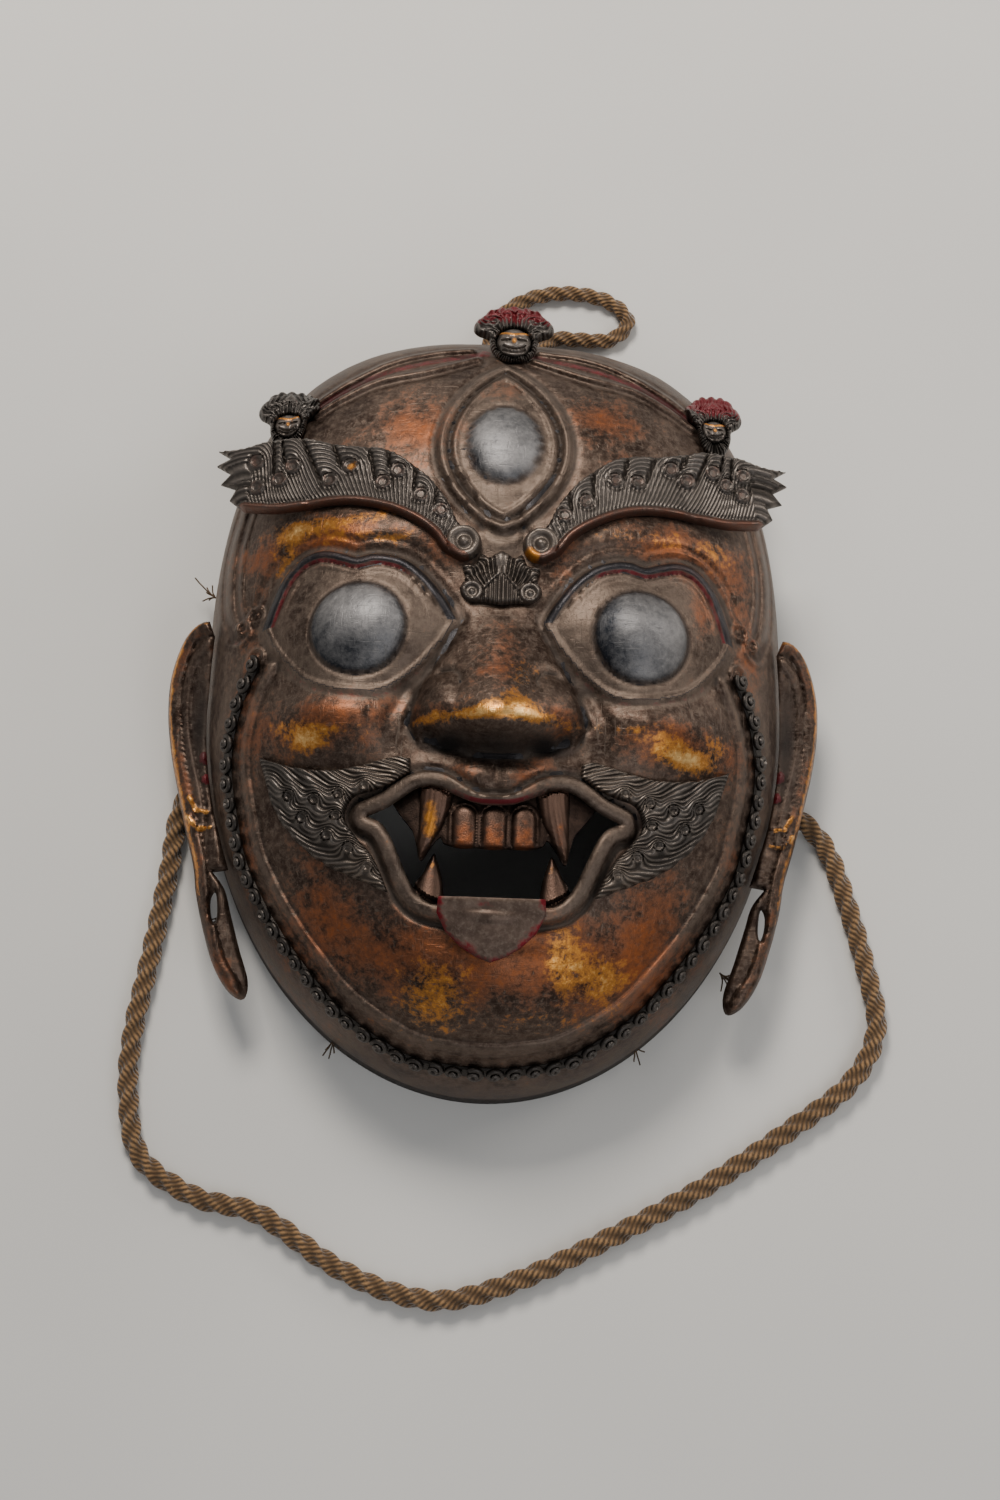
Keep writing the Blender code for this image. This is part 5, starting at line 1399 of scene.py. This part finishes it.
def add_skull(name, centre, width, length, red_share, tree, finish):
    """A small skull finial with flame hair, standing up on the headband."""
    half, tall = width / 2, length / 2
    outline = smooth_line(mirrored([(x * half, y * tall) for x, y in SKULL_FAN]), 1.1, closed=True) + centre

    def relief(x, y):
        return skull_relief(x, y, centre, width)

    def free(x, y):
        return SKULL_BACK - 0.55 * (y - centre[1])

    made = add_plate(name, outline, relief, 3.0, tree, finish, free, SMALL_BACK_STEP)
    piece, x, y, rise, marks = made
    face = marks["face"]
    red = red_share * (1 - face) * ease((y - centre[1] + 0.1 * tall) / (0.7 * tall))
    mark_trim(piece, crest=np.clip(0.12 + 0.1 * rise + 0.3 * face, 0, 1) * (1 - 0.85 * marks["dark"] * face),
              hair=marks["hair"], haired=1 - face, rub=0.1 + 0.1 * face, dusty=0.3 * face,
              gilt=np.clip(1.2 * marks["brow"] * face + marks["nose"] * face, 0, 1), lacquer=red)


# Beard curls

CURL_SPACING = 9.6
CURL_RADIUS = 3.9
CURL_WIRE = 1.45
CURL_SEED = 11
STRIP_SECTION = ((-3.4, 0.35), (3.4, 0.35), (2.8, 1.5), (-2.8, 1.5))


def add_one_curl():
    """One snail curl lying on the floor plane, coiled from a swept circle."""
    deselect_all()
    turns = np.linspace(0, 1, 26)
    angle = turns * 3.2 * math.pi
    reach = CURL_RADIUS * (1 - turns) ** 0.85 + 0.2
    rise = CURL_WIRE + 0.05 + 2.4 * turns ** 1.3
    curve = bpy.data.curves.new("curl_line", "CURVE")
    curve.dimensions = "3D"
    curve.bevel_depth = CURL_WIRE
    curve.bevel_resolution = 2
    curve.use_fill_caps = True
    spline = curve.splines.new("POLY")
    spline.points.add(len(turns) - 1)
    for k, point in enumerate(spline.points):
        point.co = (reach[k] * math.cos(angle[k]), reach[k] * math.sin(angle[k]), rise[k], 1)
        point.radius = 1.05 - 0.35 * turns[k]
    made = bpy.data.objects.new("curl", curve)
    bpy.context.scene.collection.objects.link(made)
    made.select_set(True)
    bpy.context.view_layer.objects.active = made
    bpy.ops.object.convert(target="MESH")
    return bpy.context.view_layer.objects.active


def standing_frames(line, tree):
    """Foot on the skin, and the ways along, across and up, at each point of a line on the face."""
    for (x, y), (dx, dy) in zip(line, np.gradient(line, axis=0)):
        foot = tree.ray_cast(Vector((x, y, RAY_START)), Vector((0, 0, -1)))[0]
        up = Vector(calm_normal(x, y)).normalized()
        forward = Vector((dx, dy, 0))
        forward = (forward - up * forward.dot(up)).normalized()
        yield foot, forward, up.cross(forward), up


def add_beard(tree, finish):
    """The row of glossy curls along the jaw, mirrored left and right, on a narrow strip."""
    model = add_one_curl()
    points = np.array([tuple(v.co) for v in model.data.vertices])
    faces = [tuple(p.vertices) for p in model.data.polygons]
    bpy.data.objects.remove(model)
    line = smooth_line(FULL_CURL_LINE, CURL_SPACING)
    verts, all_faces, crest = [], [], []
    draw = np.random.default_rng(CURL_SEED)
    for k, (foot, forward, across, up) in enumerate(standing_frames(line, tree)):
        size = draw.uniform(0.94, 1.06)
        turn = draw.uniform(-0.5, 0.5) + (0.8 if k % 2 else -0.4)
        hand = 1 if line[k][0] > 0 else -1
        px, py, pz = points.T
        spun = np.stack([px * math.cos(turn) - py * math.sin(turn),
                         px * math.sin(turn) + py * math.cos(turn), pz], 1) * size
        spun[:, 0] *= hand
        start = len(verts)
        base = foot + up * SKIN_GAP
        verts += [tuple(base + forward * px + across * py + up * pz) for px, py, pz in spun]
        all_faces += [tuple(start + n for n in face)[::hand] for face in faces]
        # Lighter towards the top of each curl: a painted highlight on the glossy black curls.
        crest += list(np.clip((spun[:, 2] - 1.6) / 5, 0, 0.5))
    strip, strip_faces = curl_strip(tree)
    start = len(verts)
    verts += strip
    all_faces += [tuple(start + n for n in face) for face in strip_faces]
    crest += [0.1] * len(strip)
    piece = add_piece("chased_beard_curls", verts, all_faces, finish, ("beard_curl_band",))
    mark_trim(piece, crest=crest)


def calm_normal(x, y):
    """Direction in which the face without its small relief looks."""
    step = 2.0
    z = calm_height(np.array([x, x + step, x]), np.array([y, y, y + step]))
    return (-(z[1] - z[0]) / step, -(z[2] - z[0]) / step, 1.0)


def curl_strip(tree):
    """The narrow strip that carries the curls, as a closed band on the face."""
    verts = []
    for foot, _, across, up in standing_frames(smooth_line(FULL_CURL_LINE, 3.0), tree):
        verts += [tuple(foot + across * away + up * rise) for away, rise in STRIP_SECTION]
    last = len(verts) - 4
    faces = []
    for k in range(0, last, 4):
        for a, b in ((0, 1), (1, 2), (2, 3), (3, 0)):
            faces.append((k + b, k + a, k + 4 + a, k + 4 + b))
    faces += [(0, 1, 2, 3), (last + 3, last + 2, last + 1, last)]
    return verts, faces


# Ears

EAR_ROOT_Y = (46, -73)
EAR_ROOT_HEIGHT = 50.0
EAR_LEAN = 0.7
EAR_DROP = 0.12
EAR_SHEET = 3.5
EAR_SLIT = ((137.5, -84), (139.5, -88), (139, -95), (137, -100), (135.8, -96), (136.2, -88))
EAR_HELIX = EAR[1:14]
EAR_FOLD = ((147, 42), (154, 34), (157.5, 18), (157, 0), (153.5, -18), (149, -36), (146.5, -50))
EAR_LOBE = ((143, -60), (139, -78), (133, -104), (126, -122))
EAR_KNOBS = (((145.5, -16), 3.4, 2.4), ((144.5, -27), 2.8, 2.2))
EAR_CUPS = (((143, -44), (149, -43), (153, -36)), ((141.5, -52), (148, -52.5), (153, -46)))
EAR_LEAN_FROM = 136
EAR_GAP = 0.4
EAR_CLEAR_PAST = 152
EAR_FREE_BELOW = -75


def ear_back(x, y):
    """Height of the ear's back, which leans away from the face and down to the lobe."""
    return EAR_ROOT_HEIGHT - EAR_LEAN * np.maximum(np.abs(x) - EAR_LEAN_FROM, 0) - EAR_DROP * (EAR_ROOT_Y[0] - y)


def ear_relief(x, y):
    """Relief of the ear with its rolled rim, fold and hollow; and the shares of rim, cups and knobs."""
    near = np.abs(x)
    rim = ridge(distance_to(smooth_line(EAR_HELIX, 3), near, y) - 3.4, 3.8, 3.8, 0.5)
    inner = ridge(distance_to(smooth_line(EAR_FOLD, 3), near, y), 2.8, 2.4, 0.5)
    hollow = -1.3 * bell(near, y, (148, 8), 6, 26)
    lobe = ridge(distance_to(EAR_LOBE, near, y), 7, 1.6)
    knobs = sum(ridge(np.hypot(near - at[0], y - at[1]), half, high, 0.5) for at, half, high in EAR_KNOBS)
    cup = sum(ridge(distance_to(line, near, y), 1.6, 1.4) for line in EAR_CUPS)
    return rim + inner + hollow + lobe + knobs + cup, np.clip(rim / 3, 0, 1), np.clip(cup, 0, 1), knobs


def side_reach(tree, side, y, z):
    """How far out the face's skin stands at a height, seen from one side, or None past it."""
    hit = tree.ray_cast(Vector((side * RAY_START, y, z)), Vector((-side, 0, 0)))[0]
    return None if hit is None else side * hit.x


def add_ear(side, name, tree, finish):
    """A long-lobed ear with rolled rim and pierced lobe, against the side of the face."""
    root = []
    for y in np.linspace(*EAR_ROOT_Y, 60):
        guess = HALF_WIDTH - 9
        for _ in range(4):
            guess = side_reach(tree, side, y, float(ear_back(guess, y)) - 0.5) + 0.9
        root.append((guess, y))
    root = np.array(root[::-1])
    rim = smooth_line(EAR, 1.6)
    clear = np.interp(rim[:, 1], root[:, 1], root[:, 0]) + 2.5
    rim = rim[(rim[:, 0] > clear) | (rim[:, 1] < EAR_FREE_BELOW)]
    outline = np.concatenate([rim, root]) * (side, 1)
    slit = smooth_line(EAR_SLIT, 1.3, closed=True) * (side, 1)
    front, back = sheet_nets([outline, slit], 1.1)
    x, y = front[0].T
    edge = np.minimum(distance_to(outline, x, y, closed=True), distance_to(slit, x, y, closed=True))
    rounding = np.sqrt(np.clip(edge / 2.0, 0, 1))
    top = ear_back(x, y) + (EAR_SHEET + ear_relief(x, y)[0]) * (0.3 + 0.7 * rounding)
    verts, faces = sheet_skin(front, top, back, ear_back(*back[0].T))
    for place in verts:
        if abs(place[0]) < EAR_CLEAR_PAST and place[1] > EAR_FREE_BELOW - 1:
            reach = side_reach(tree, side, place[1], place[2])
            if reach is not None and side * place[0] < reach + EAR_GAP:
                place[0] = side * (reach + EAR_GAP)
    piece = add_piece(f"raised_copper_ear_{name}", verts, faces, finish, (f"ear_{name}",))
    x, y = flat_of(piece)
    near = np.abs(x)
    _, rim_share, cup, knobs = ear_relief(x, y)
    on_front = np.arange(len(x)) < len(front[0])
    edge = distance_to(smooth_line(EAR_HELIX, 3), near, y)
    gold_edge = soft(edge - 1.6, 1.5) * ease((near - 141) / 6)
    rub = 0.8 * gold_edge + 0.75 * cup + 0.25 * bell(near, y, (133, -112), 5, 18)
    paint(piece, "rub", rub * on_front)
    paint(piece, "warm", 0.3 * rim_share * on_front + 0.1)
    paint(piece, "lacquer", 0.75 * np.clip(knobs, 0, 1) * on_front)
    paint(piece, "lid", NO_LID)
    # Darker in the ear's hollow and over its whole back.
    paint(piece, "soot_and_shade", np.where(on_front, np.clip(0.75 * bell(near, y, (149, 2), 7, 36), 0, 1), 0.4))


# Mouth

TOOTH_SHEET = 3.0
LOWER_FANG_HEIGHT = 106.4
LOWER_FANG_AXIS = ((28, -77), (30, -98))
TONGUE_HEIGHT = 113.0
TONGUE_FALL = 0.3
TONGUE_SHEET = 2.0
TONGUE_TOP = -97.5
TONGUE_OUTLINE = (
    (0, TONGUE_TOP), (13, TONGUE_TOP), (25.5, TONGUE_TOP), (26, -105), (21.5, -113.5), (14.5, -120),
    (7, -124.5), (0, -127),
)
UNDER_GAP = 1.1
TOOTH_RADIUS = 5.6
FRONT_TEETH_HALF = 21.6


def add_under_face(node, outline, step, height, bulge, tree, finish):
    """A plate behind the open mouth, kept under the inside of the face, for a CAD node: piece and places."""
    front, back = sheet_nets([outline], step)

    def ceiling(x, y):
        lowest = skin_heights(tree, x, y, np.inf)
        for turn in np.arange(6) / 6 * 2 * math.pi:
            around = skin_heights(tree, x + 1.6 * math.cos(turn), y + 1.6 * math.sin(turn), np.inf)
            lowest = np.minimum(lowest, around)
        return lowest - bpy.context.scene.mask_sizes.wall / MM - UNDER_GAP

    x, y = front[0].T
    edge = np.sqrt(np.clip(distance_to(outline, x, y, closed=True) / 1.5, 0, 1))
    top = np.minimum(height(x, y) + bulge(x, y) * (0.3 + 0.7 * edge), ceiling(x, y))
    x, y = back[0].T
    bottom = np.minimum(height(x, y), ceiling(x, y)) - TOOTH_SHEET
    verts, faces = sheet_skin(front, top, back, bottom)
    piece = add_piece(f"chased_{node}", verts, faces, finish, (node,))
    return piece, *flat_of(piece)


def add_teeth(tree, finish):
    """Gum, front teeth and both upper fangs in one plate."""
    outline = smooth_line(mirrored(UPPER_TEETH), 1.3, closed=True)

    def height(x, y):
        return TEETH_HEIGHT - TEETH_BEND * x * x

    def tooth_reach(x, y):
        across = (x + TOOTH_WIDTH / 2) % TOOTH_WIDTH - TOOTH_WIDTH / 2
        return np.hypot(across, np.maximum(y - TOOTH_TOP + 5.2, 0))

    def bulge(x, y):
        near = np.abs(x)
        reach = tooth_reach(x, y)
        teeth = 3.2 * np.clip(1 - (reach / TOOTH_RADIUS) ** 3, 0, 1) ** 0.5 + soft(reach - 6.6, 0.8)
        share = np.clip((-45 - y) / 34.5, 0, 1)
        away = distance_to(smooth_line(FANG_AXIS, 2), near, y)
        fang = ridge(away, 8.1 - 7.2 * share ** 1.5, 7.6 - 4.4 * share, 0.5)
        fang = fang + 0.35 * np.cos(away * 2.6) * (fang > 1)
        return 0.5 + np.maximum(teeth * (near < FRONT_TEETH_HALF), fang)

    piece, x, y = add_under_face("upper_teeth", outline, 0.85, height, bulge, tree, finish)
    on_teeth = np.clip(1 - (tooth_reach(x, y) / TOOTH_RADIUS) ** 4, 0, 1) * (np.abs(x) < FRONT_TEETH_HALF)
    low = ease((-56 - y) / 14)
    paint(piece, "rub", on_teeth * (0.12 + 0.5 * low) + 0.4 * bell(np.abs(x), y, (31.5, -66), 3.5, 12))
    # The crest mark falls in the low gums, which come out near black.
    paint(piece, "crest", np.maximum(bulge(x, y) / 9 + 0.12, 0.45 * on_teeth))
    paint(piece, "gilt", 0.85 * bell(x, y, (-30.5, -62), 4, 12) + 0.3 * bell(x, y, (31.5, -68), 2.5, 8))


def add_lower_fang(side, name, tree, finish):
    """A lower fang, which stands up from behind the lower lip."""
    outline = smooth_line(LOWER_FANG, 1.2, closed=True) * (side, 1)

    def height(x, y):
        return np.full(len(x), LOWER_FANG_HEIGHT)

    def bulge(x, y):
        share = np.clip((-77 - y) / 21, 0, 1)
        away = distance_to(LOWER_FANG_AXIS, np.abs(x), y)
        return 0.5 + ridge(away, 3 + 4.5 * share, 2.4 + 2.4 * share, 0.5)

    piece, x, y = add_under_face(f"lower_fang_{name}", outline, 0.75, height, bulge, tree, finish)
    # The crest mark falls towards the fang's edges, which come out darker.
    paint(piece, "crest", bulge(x, y) / 9)
    paint(piece, "rub", 0.3 * bell(np.abs(x), y, (29, -84), 3, 8))
    paint(piece, "gilt", 0.45 * bell(np.abs(x), y, (28.5, -82), 2, 5))


def add_tongue(tree, finish):
    """A flat shield-shaped tongue laid over the lower lip, its lacquer left along the edge."""
    corners = np.array(mirrored(TONGUE_OUTLINE), float)
    outline = []
    for a, b in zip(corners, np.roll(corners, -1, axis=0)):
        steps = max(1, round(math.hypot(*(b - a)) / 1.2))
        outline += [tuple(a + (b - a) * k / steps) for k in range(steps)]
    outline = np.array(outline)
    front, back = sheet_nets([outline], 1.2)

    def floor(x, y):
        flat = TONGUE_HEIGHT + TONGUE_FALL * (y - TONGUE_TOP)
        return np.maximum(skin_heights(tree, x, y) + SEAT_GAP + 0.2, flat)

    x, y = front[0].T
    edge = distance_to(outline, x, y, closed=True)
    top = floor(x, y) + TONGUE_SHEET - 0.7 * np.exp(-edge / 0.5) + 0.25 * waves(x, y, 16, 8)
    verts, faces = sheet_skin(front, top, back, floor(*back[0].T))
    piece = add_piece("lacquered_tongue", verts, faces, finish, ("tongue",), crease=40)
    x, y = flat_of(piece)
    edge = distance_to(np.array(TONGUE_OUTLINE[2:], float), np.abs(x), y)
    paint(piece, "lacquer", np.clip(0.6 - edge / 10, 0, 1) + 0.1 + 0.5 * bell(x, y, (-2, -101), 7, 3))


# Thread ends caught at the rim

THREAD_DIAMETER = 0.9
THREAD_SEED = 5
THREADS_A_HOLE = 7
TUFT_PLACES = ((-146.5, 76, 14), (-133, -91, 12), (-74.5, -151, 9), (76, -151, 9), (119, -113, 12))


def add_tufts(finish):
    """Short ends of sewing thread caught in the small lining holes along the rim."""
    draw = np.random.default_rng(THREAD_SEED)
    verts, faces = [], []
    for x, y, z in TUFT_PLACES:
        out = np.array((x, y - FACE_CENTRE_Y, 0.0))
        out = out / np.linalg.norm(out)
        for _ in range(THREADS_A_HOLE):
            bend = draw.normal(0, 0.55, 3)
            length = draw.uniform(4, 9)
            t = np.linspace(0, 1, 7)[:, None]
            line = np.array((x, y, z)) + out * t * length + bend * length * t ** 2 * (1, 1, 0.7)
            line[:, 2] = np.maximum(line[:, 2], 0.7)
            tube, tube_faces, _, _ = rope_tube(line, THREAD_DIAMETER, around=6)
            start = len(verts)
            verts += [tuple(p) for p in tube]
            faces += [tuple(start + n for n in face) for face in tube_faces]
    piece = add_piece("lining_thread_ends", verts, faces, finish, ())
    paint(piece, "deep", 0.2)


# Stage

CAMERA_AIM = (3, -12, 60)
CAMERA_AWAY = 1.35
CAMERA_AZIMUTH = math.radians(-5)
CAMERA_ELEVATION = math.radians(76)
CAMERA_ROLL = math.radians(1.65)
FOCAL_PIXELS = 2700
PHOTO_HEIGHT = 1500
LIGHT_AIM = (0, 0, 0.06)
SKY_COLOUR = (0.8, 0.82, 0.85, 1)
SKY_STRENGTH = 0.35
FLOOR_SIZE = 6
# Name, place, width, power and colour of each light
LIGHTS = (
    ("soft_key", (-0.3, 1.0, 1.3), 0.55, 26, (1.0, 0.95, 0.88)),
    ("soft_fill", (0.8, -1.1, 1.5), 1.1, 9, (0.94, 0.97, 1.0)),
    ("soft_rim", (1.3, 0.7, 0.7), 0.6, 8, (1.0, 0.96, 0.9)),
)


def add_camera():
    """The camera at the photograph's angle, above the mask and a little to its chin side."""
    flat = math.cos(CAMERA_ELEVATION)
    back = Vector((math.sin(CAMERA_AZIMUTH) * flat, -math.cos(CAMERA_AZIMUTH) * flat,
                   math.sin(CAMERA_ELEVATION)))
    side = (-back).cross(Vector((0, 1, 0))).normalized()
    up = side.cross(-back)
    right = side * math.cos(CAMERA_ROLL) + up * math.sin(CAMERA_ROLL)
    above = up * math.cos(CAMERA_ROLL) - side * math.sin(CAMERA_ROLL)
    deselect_all()
    bpy.ops.object.camera_add(location=Vector(placed(CAMERA_AIM)) + back * CAMERA_AWAY)
    camera = bpy.context.object
    camera.name = "photo_camera"
    turn = np.array([right, above, back]).T
    camera.rotation_mode = "QUATERNION"
    camera.rotation_quaternion = Matrix(turn.tolist()).to_quaternion()
    camera.data.sensor_width = 36
    camera.data.lens = FOCAL_PIXELS / PHOTO_HEIGHT * camera.data.sensor_width
    camera.data.dof.use_dof = False
    camera.data.clip_start = 0.01
    bpy.context.scene.camera = camera


def add_floor(colours):
    """A plain pale floor that the mask lies on."""
    deselect_all()
    bpy.ops.mesh.primitive_plane_add(size=FLOOR_SIZE, location=(0, 0, 0))
    floor = bpy.context.object
    floor.name = "pale_floor"
    f = Finish("matt_pale_paper", 0.9, 0.0, 0.2)
    f.coat(f.span(f.noise(300, 3, 0.5), 0.3, 0.7, 0.0, 0.12), colours.pewter, over=colours.floor)
    f.feed(f.shader, {"Base Color": f.skin})
    floor.data.materials.append(f.material)
    apply_place(floor)


def add_light(name, place, size, power, colour):
    """A soft square light that looks at the mask."""
    deselect_all()
    bpy.ops.object.light_add(type="AREA", location=place)
    lamp = bpy.context.object
    lamp.name = name
    lamp.data.size = size
    lamp.data.energy = power
    lamp.data.color = colour
    lamp.rotation_mode = "QUATERNION"
    lamp.rotation_quaternion = (Vector(place) - Vector(LIGHT_AIM)).to_track_quat("Z", "Y")


def add_lights():
    """Soft studio light from above the crown, with a weaker fill from the chin side."""
    for row in LIGHTS:
        add_light(*row)
    world = bpy.context.scene.world or bpy.data.worlds.new("studio")
    bpy.context.scene.world = world
    world.use_nodes = True
    sky = world.node_tree.nodes["Background"]
    sky.inputs["Color"].default_value = SKY_COLOUR
    sky.inputs["Strength"].default_value = SKY_STRENGTH


# Properties, operators and panel

def colour_property(name, code, words):
    """A colour that a user can change."""
    return FloatVectorProperty(name=name, description=words, subtype="COLOR", size=3, min=0, max=1,
                               default=linear(code))


class MaskSizes(PropertyGroup):
    wall: FloatProperty(name="Copper wall", description="Thickness of the raised sheet", default=0.0015,
                        min=0.0006, max=0.003, unit="LENGTH")


class MaskColours(PropertyGroup):
    patina: colour_property("Patina", "#6b5a4f", "Greyish brown patina of the copper")
    patina_dark: colour_property("Dark patina", "#3b2d26", "Darker patina where oil and smoke have sat")
    copper: colour_property("Rubbed copper", "#965229", "Warm copper where the patina is thin")
    gold: colour_property("Gilding", "#c08038", "Gilding that is left where hands rub")
    # Paler gold on the strongest rubbed spots: polished gilding and a painted highlight.
    polished_gold_highlight: colour_property("Bright gilding", "#f6ca84", "Polished gilding on the highest points")
    dust: colour_property("Dust", "#7a6d62", "Greyish dust in the grain of the patina")
    # Near black, for painted shade on the face and for the darker ear hollows, inside of the face and low gums
    # of the teeth.
    soot_and_shade: colour_property("Soot", "#1b1613", "Soot and wax in the creases")
    lacquer: colour_property("Red lacquer", "#64131b", "Old red lacquer")
    pewter: colour_property("Iris silver", "#949190", "Silvered metal of the irises")
    pewter_dark: colour_property("Iris tarnish", "#2b2e34", "Blue-black tarnish on the irises")
    trim: colour_property("Trim crests", "#726b66", "Gunmetal crests of the chased trim")
    trim_dark: colour_property("Trim cuts", "#221e1b", "Black in the cuts of the chased trim")
    rim: colour_property("Trim rims", "#6b483b", "Brown copper rubbed clear on the rims of the trim")
    tooth: colour_property("Tooth copper", "#6a5246", "Dusty brown copper of the teeth")
    rope: colour_property("Hemp", "#9a7650", "Tan hemp yarn")
    # Dark hemp: the dirt patches, and the darker grooves between the strands.
    rope_dark: colour_property("Dirty hemp", "#4a3826", "Dirt between the strands")
    rope_pale: colour_property("Hemp fluff", "#b99c74", "Pale broken fibres")
    floor: colour_property("Floor", "#d9d6d1", "Pale matt floor")


class MaskOperator(Operator):
    bl_options = {"REGISTER", "UNDO"}

    def execute(self, context):
        self.make(context)
        return {"FINISHED"}


def carrier():
    """The face's skin, in drawn millimetres, for the trim to lie on."""
    face = bpy.data.objects.get("raised_copper_face")
    if face is None:
        raise RuntimeError("the raised face is made before its trim")
    x, y = flat_of(face)
    z = np.array([v.co.z for v in face.data.vertices]) / MM
    faces = [tuple(p.vertices) for p in face.data.polygons]
    return BVHTree.FromPolygons(np.column_stack([x, y, z]).tolist(), faces)


class MASK_OT_camera(MaskOperator):
    """Set the camera at the photograph's angle"""
    bl_idname = "mask.camera"
    bl_label = "Camera"

    def make(self, context):
        add_camera()


class MASK_OT_ropes(MaskOperator):
    """Lay the carrying rope and the hanging loop with their knots"""
    bl_idname = "mask.ropes"
    bl_label = "Ropes"

    def make(self, context):
        finish = finish_of("laid_hemp_rope")
        add_carry_rope(finish)
        add_hanging_loop(finish)


class MASK_OT_face(MaskOperator):
    """Raise the copper face with its eyes, nose, lips and ridges"""
    bl_idname = "mask.face"
    bl_label = "Raised face"

    def make(self, context):
        add_face(finish_of("patinated_gilt_copper"))


class MASK_OT_brows(MaskOperator):
    """Chase both brows"""
    bl_idname = "mask.brows"
    bl_label = "Brows"

    def make(self, context):
        tree = carrier()
        for side, name in SIDES:
            add_brow(side, name, tree, finish_of("blackened_chased_copper"))


class MASK_OT_moustaches(MaskOperator):
    """Chase both moustaches and the crest at the root of the nose"""
    bl_idname = "mask.moustaches"
    bl_label = "Moustaches and crest"

    def make(self, context):
        tree = carrier()
        finish = finish_of("blackened_chased_copper")
        for side, name in SIDES:
            add_moustache(side, name, tree, finish)
        add_crest(tree, finish)


class MASK_OT_skulls(MaskOperator):
    """Chase the three skull finials of the headband"""
    bl_idname = "mask.skulls"
    bl_label = "Skull finials"

    def make(self, context):
        tree = carrier()
        finish = finish_of("blackened_chased_copper")
        for row in SKULLS:
            add_skull(*row, tree, finish)


class MASK_OT_beard(MaskOperator):
    """Coil the row of beard curls along the jaw"""
    bl_idname = "mask.beard"
    bl_label = "Beard curls"

    def make(self, context):
        add_beard(carrier(), finish_of("blackened_chased_copper"))


class MASK_OT_ears(MaskOperator):
    """Raise both long-lobed ears"""
    bl_idname = "mask.ears"
    bl_label = "Ears"

    def make(self, context):
        tree = carrier()
        for side, name in SIDES:
            add_ear(side, name, tree, finish_of("patinated_gilt_copper"))


class MASK_OT_mouth(MaskOperator):
    """Chase the teeth and fangs and cut the tongue"""
    bl_idname = "mask.mouth"
    bl_label = "Teeth and tongue"

    def make(self, context):
        tree = carrier()
        finish = finish_of("rubbed_copper_teeth")
        add_teeth(tree, finish)
        for side, name in SIDES:
            add_lower_fang(side, name, tree, finish)
        add_tongue(tree, finish_of("lacquered_tongue_sheet"))


class MASK_OT_threads(MaskOperator):
    """Leave short thread ends in the lining holes of the rim"""
    bl_idname = "mask.threads"
    bl_label = "Thread ends"

    def make(self, context):
        add_tufts(finish_of("laid_hemp_rope"))


class MASK_OT_stage(MaskOperator):
    """Set the pale floor and the soft studio lights"""
    bl_idname = "mask.stage"
    bl_label = "Floor and lights"

    def make(self, context):
        add_floor(context.scene.mask_colours)
        add_lights()


STEPS = (MASK_OT_camera, MASK_OT_ropes, MASK_OT_face, MASK_OT_brows, MASK_OT_moustaches, MASK_OT_skulls,
         MASK_OT_beard, MASK_OT_ears, MASK_OT_mouth, MASK_OT_threads, MASK_OT_stage)


class MASK_PT_panel(Panel):
    bl_label = "Ritual mask"
    bl_space_type = "VIEW_3D"
    bl_region_type = "UI"
    bl_category = "Mask"

    def draw(self, context):
        for group in (context.scene.mask_sizes, context.scene.mask_colours):
            for name in group.bl_rna.properties.keys():
                if name not in ("rna_type", "name"):
                    self.layout.prop(group, name)
        for step in STEPS:
            self.layout.operator(step.bl_idname)


CLASSES = (MaskSizes, MaskColours, *STEPS, MASK_PT_panel)


def register():
    for made in CLASSES:
        bpy.utils.register_class(made)
    bpy.types.Scene.mask_sizes = PointerProperty(type=MaskSizes)
    bpy.types.Scene.mask_colours = PointerProperty(type=MaskColours)


def unregister():
    del bpy.types.Scene.mask_sizes
    del bpy.types.Scene.mask_colours
    for made in reversed(CLASSES):
        bpy.utils.unregister_class(made)


def main():
    register()
    for step in STEPS:
        began = time.time()
        group, name = step.bl_idname.split(".")
        getattr(getattr(bpy.ops, group), name)()
        print(f"{step.bl_idname} took {time.time() - began:.1f} s")


if __name__ == "__main__":
    main()
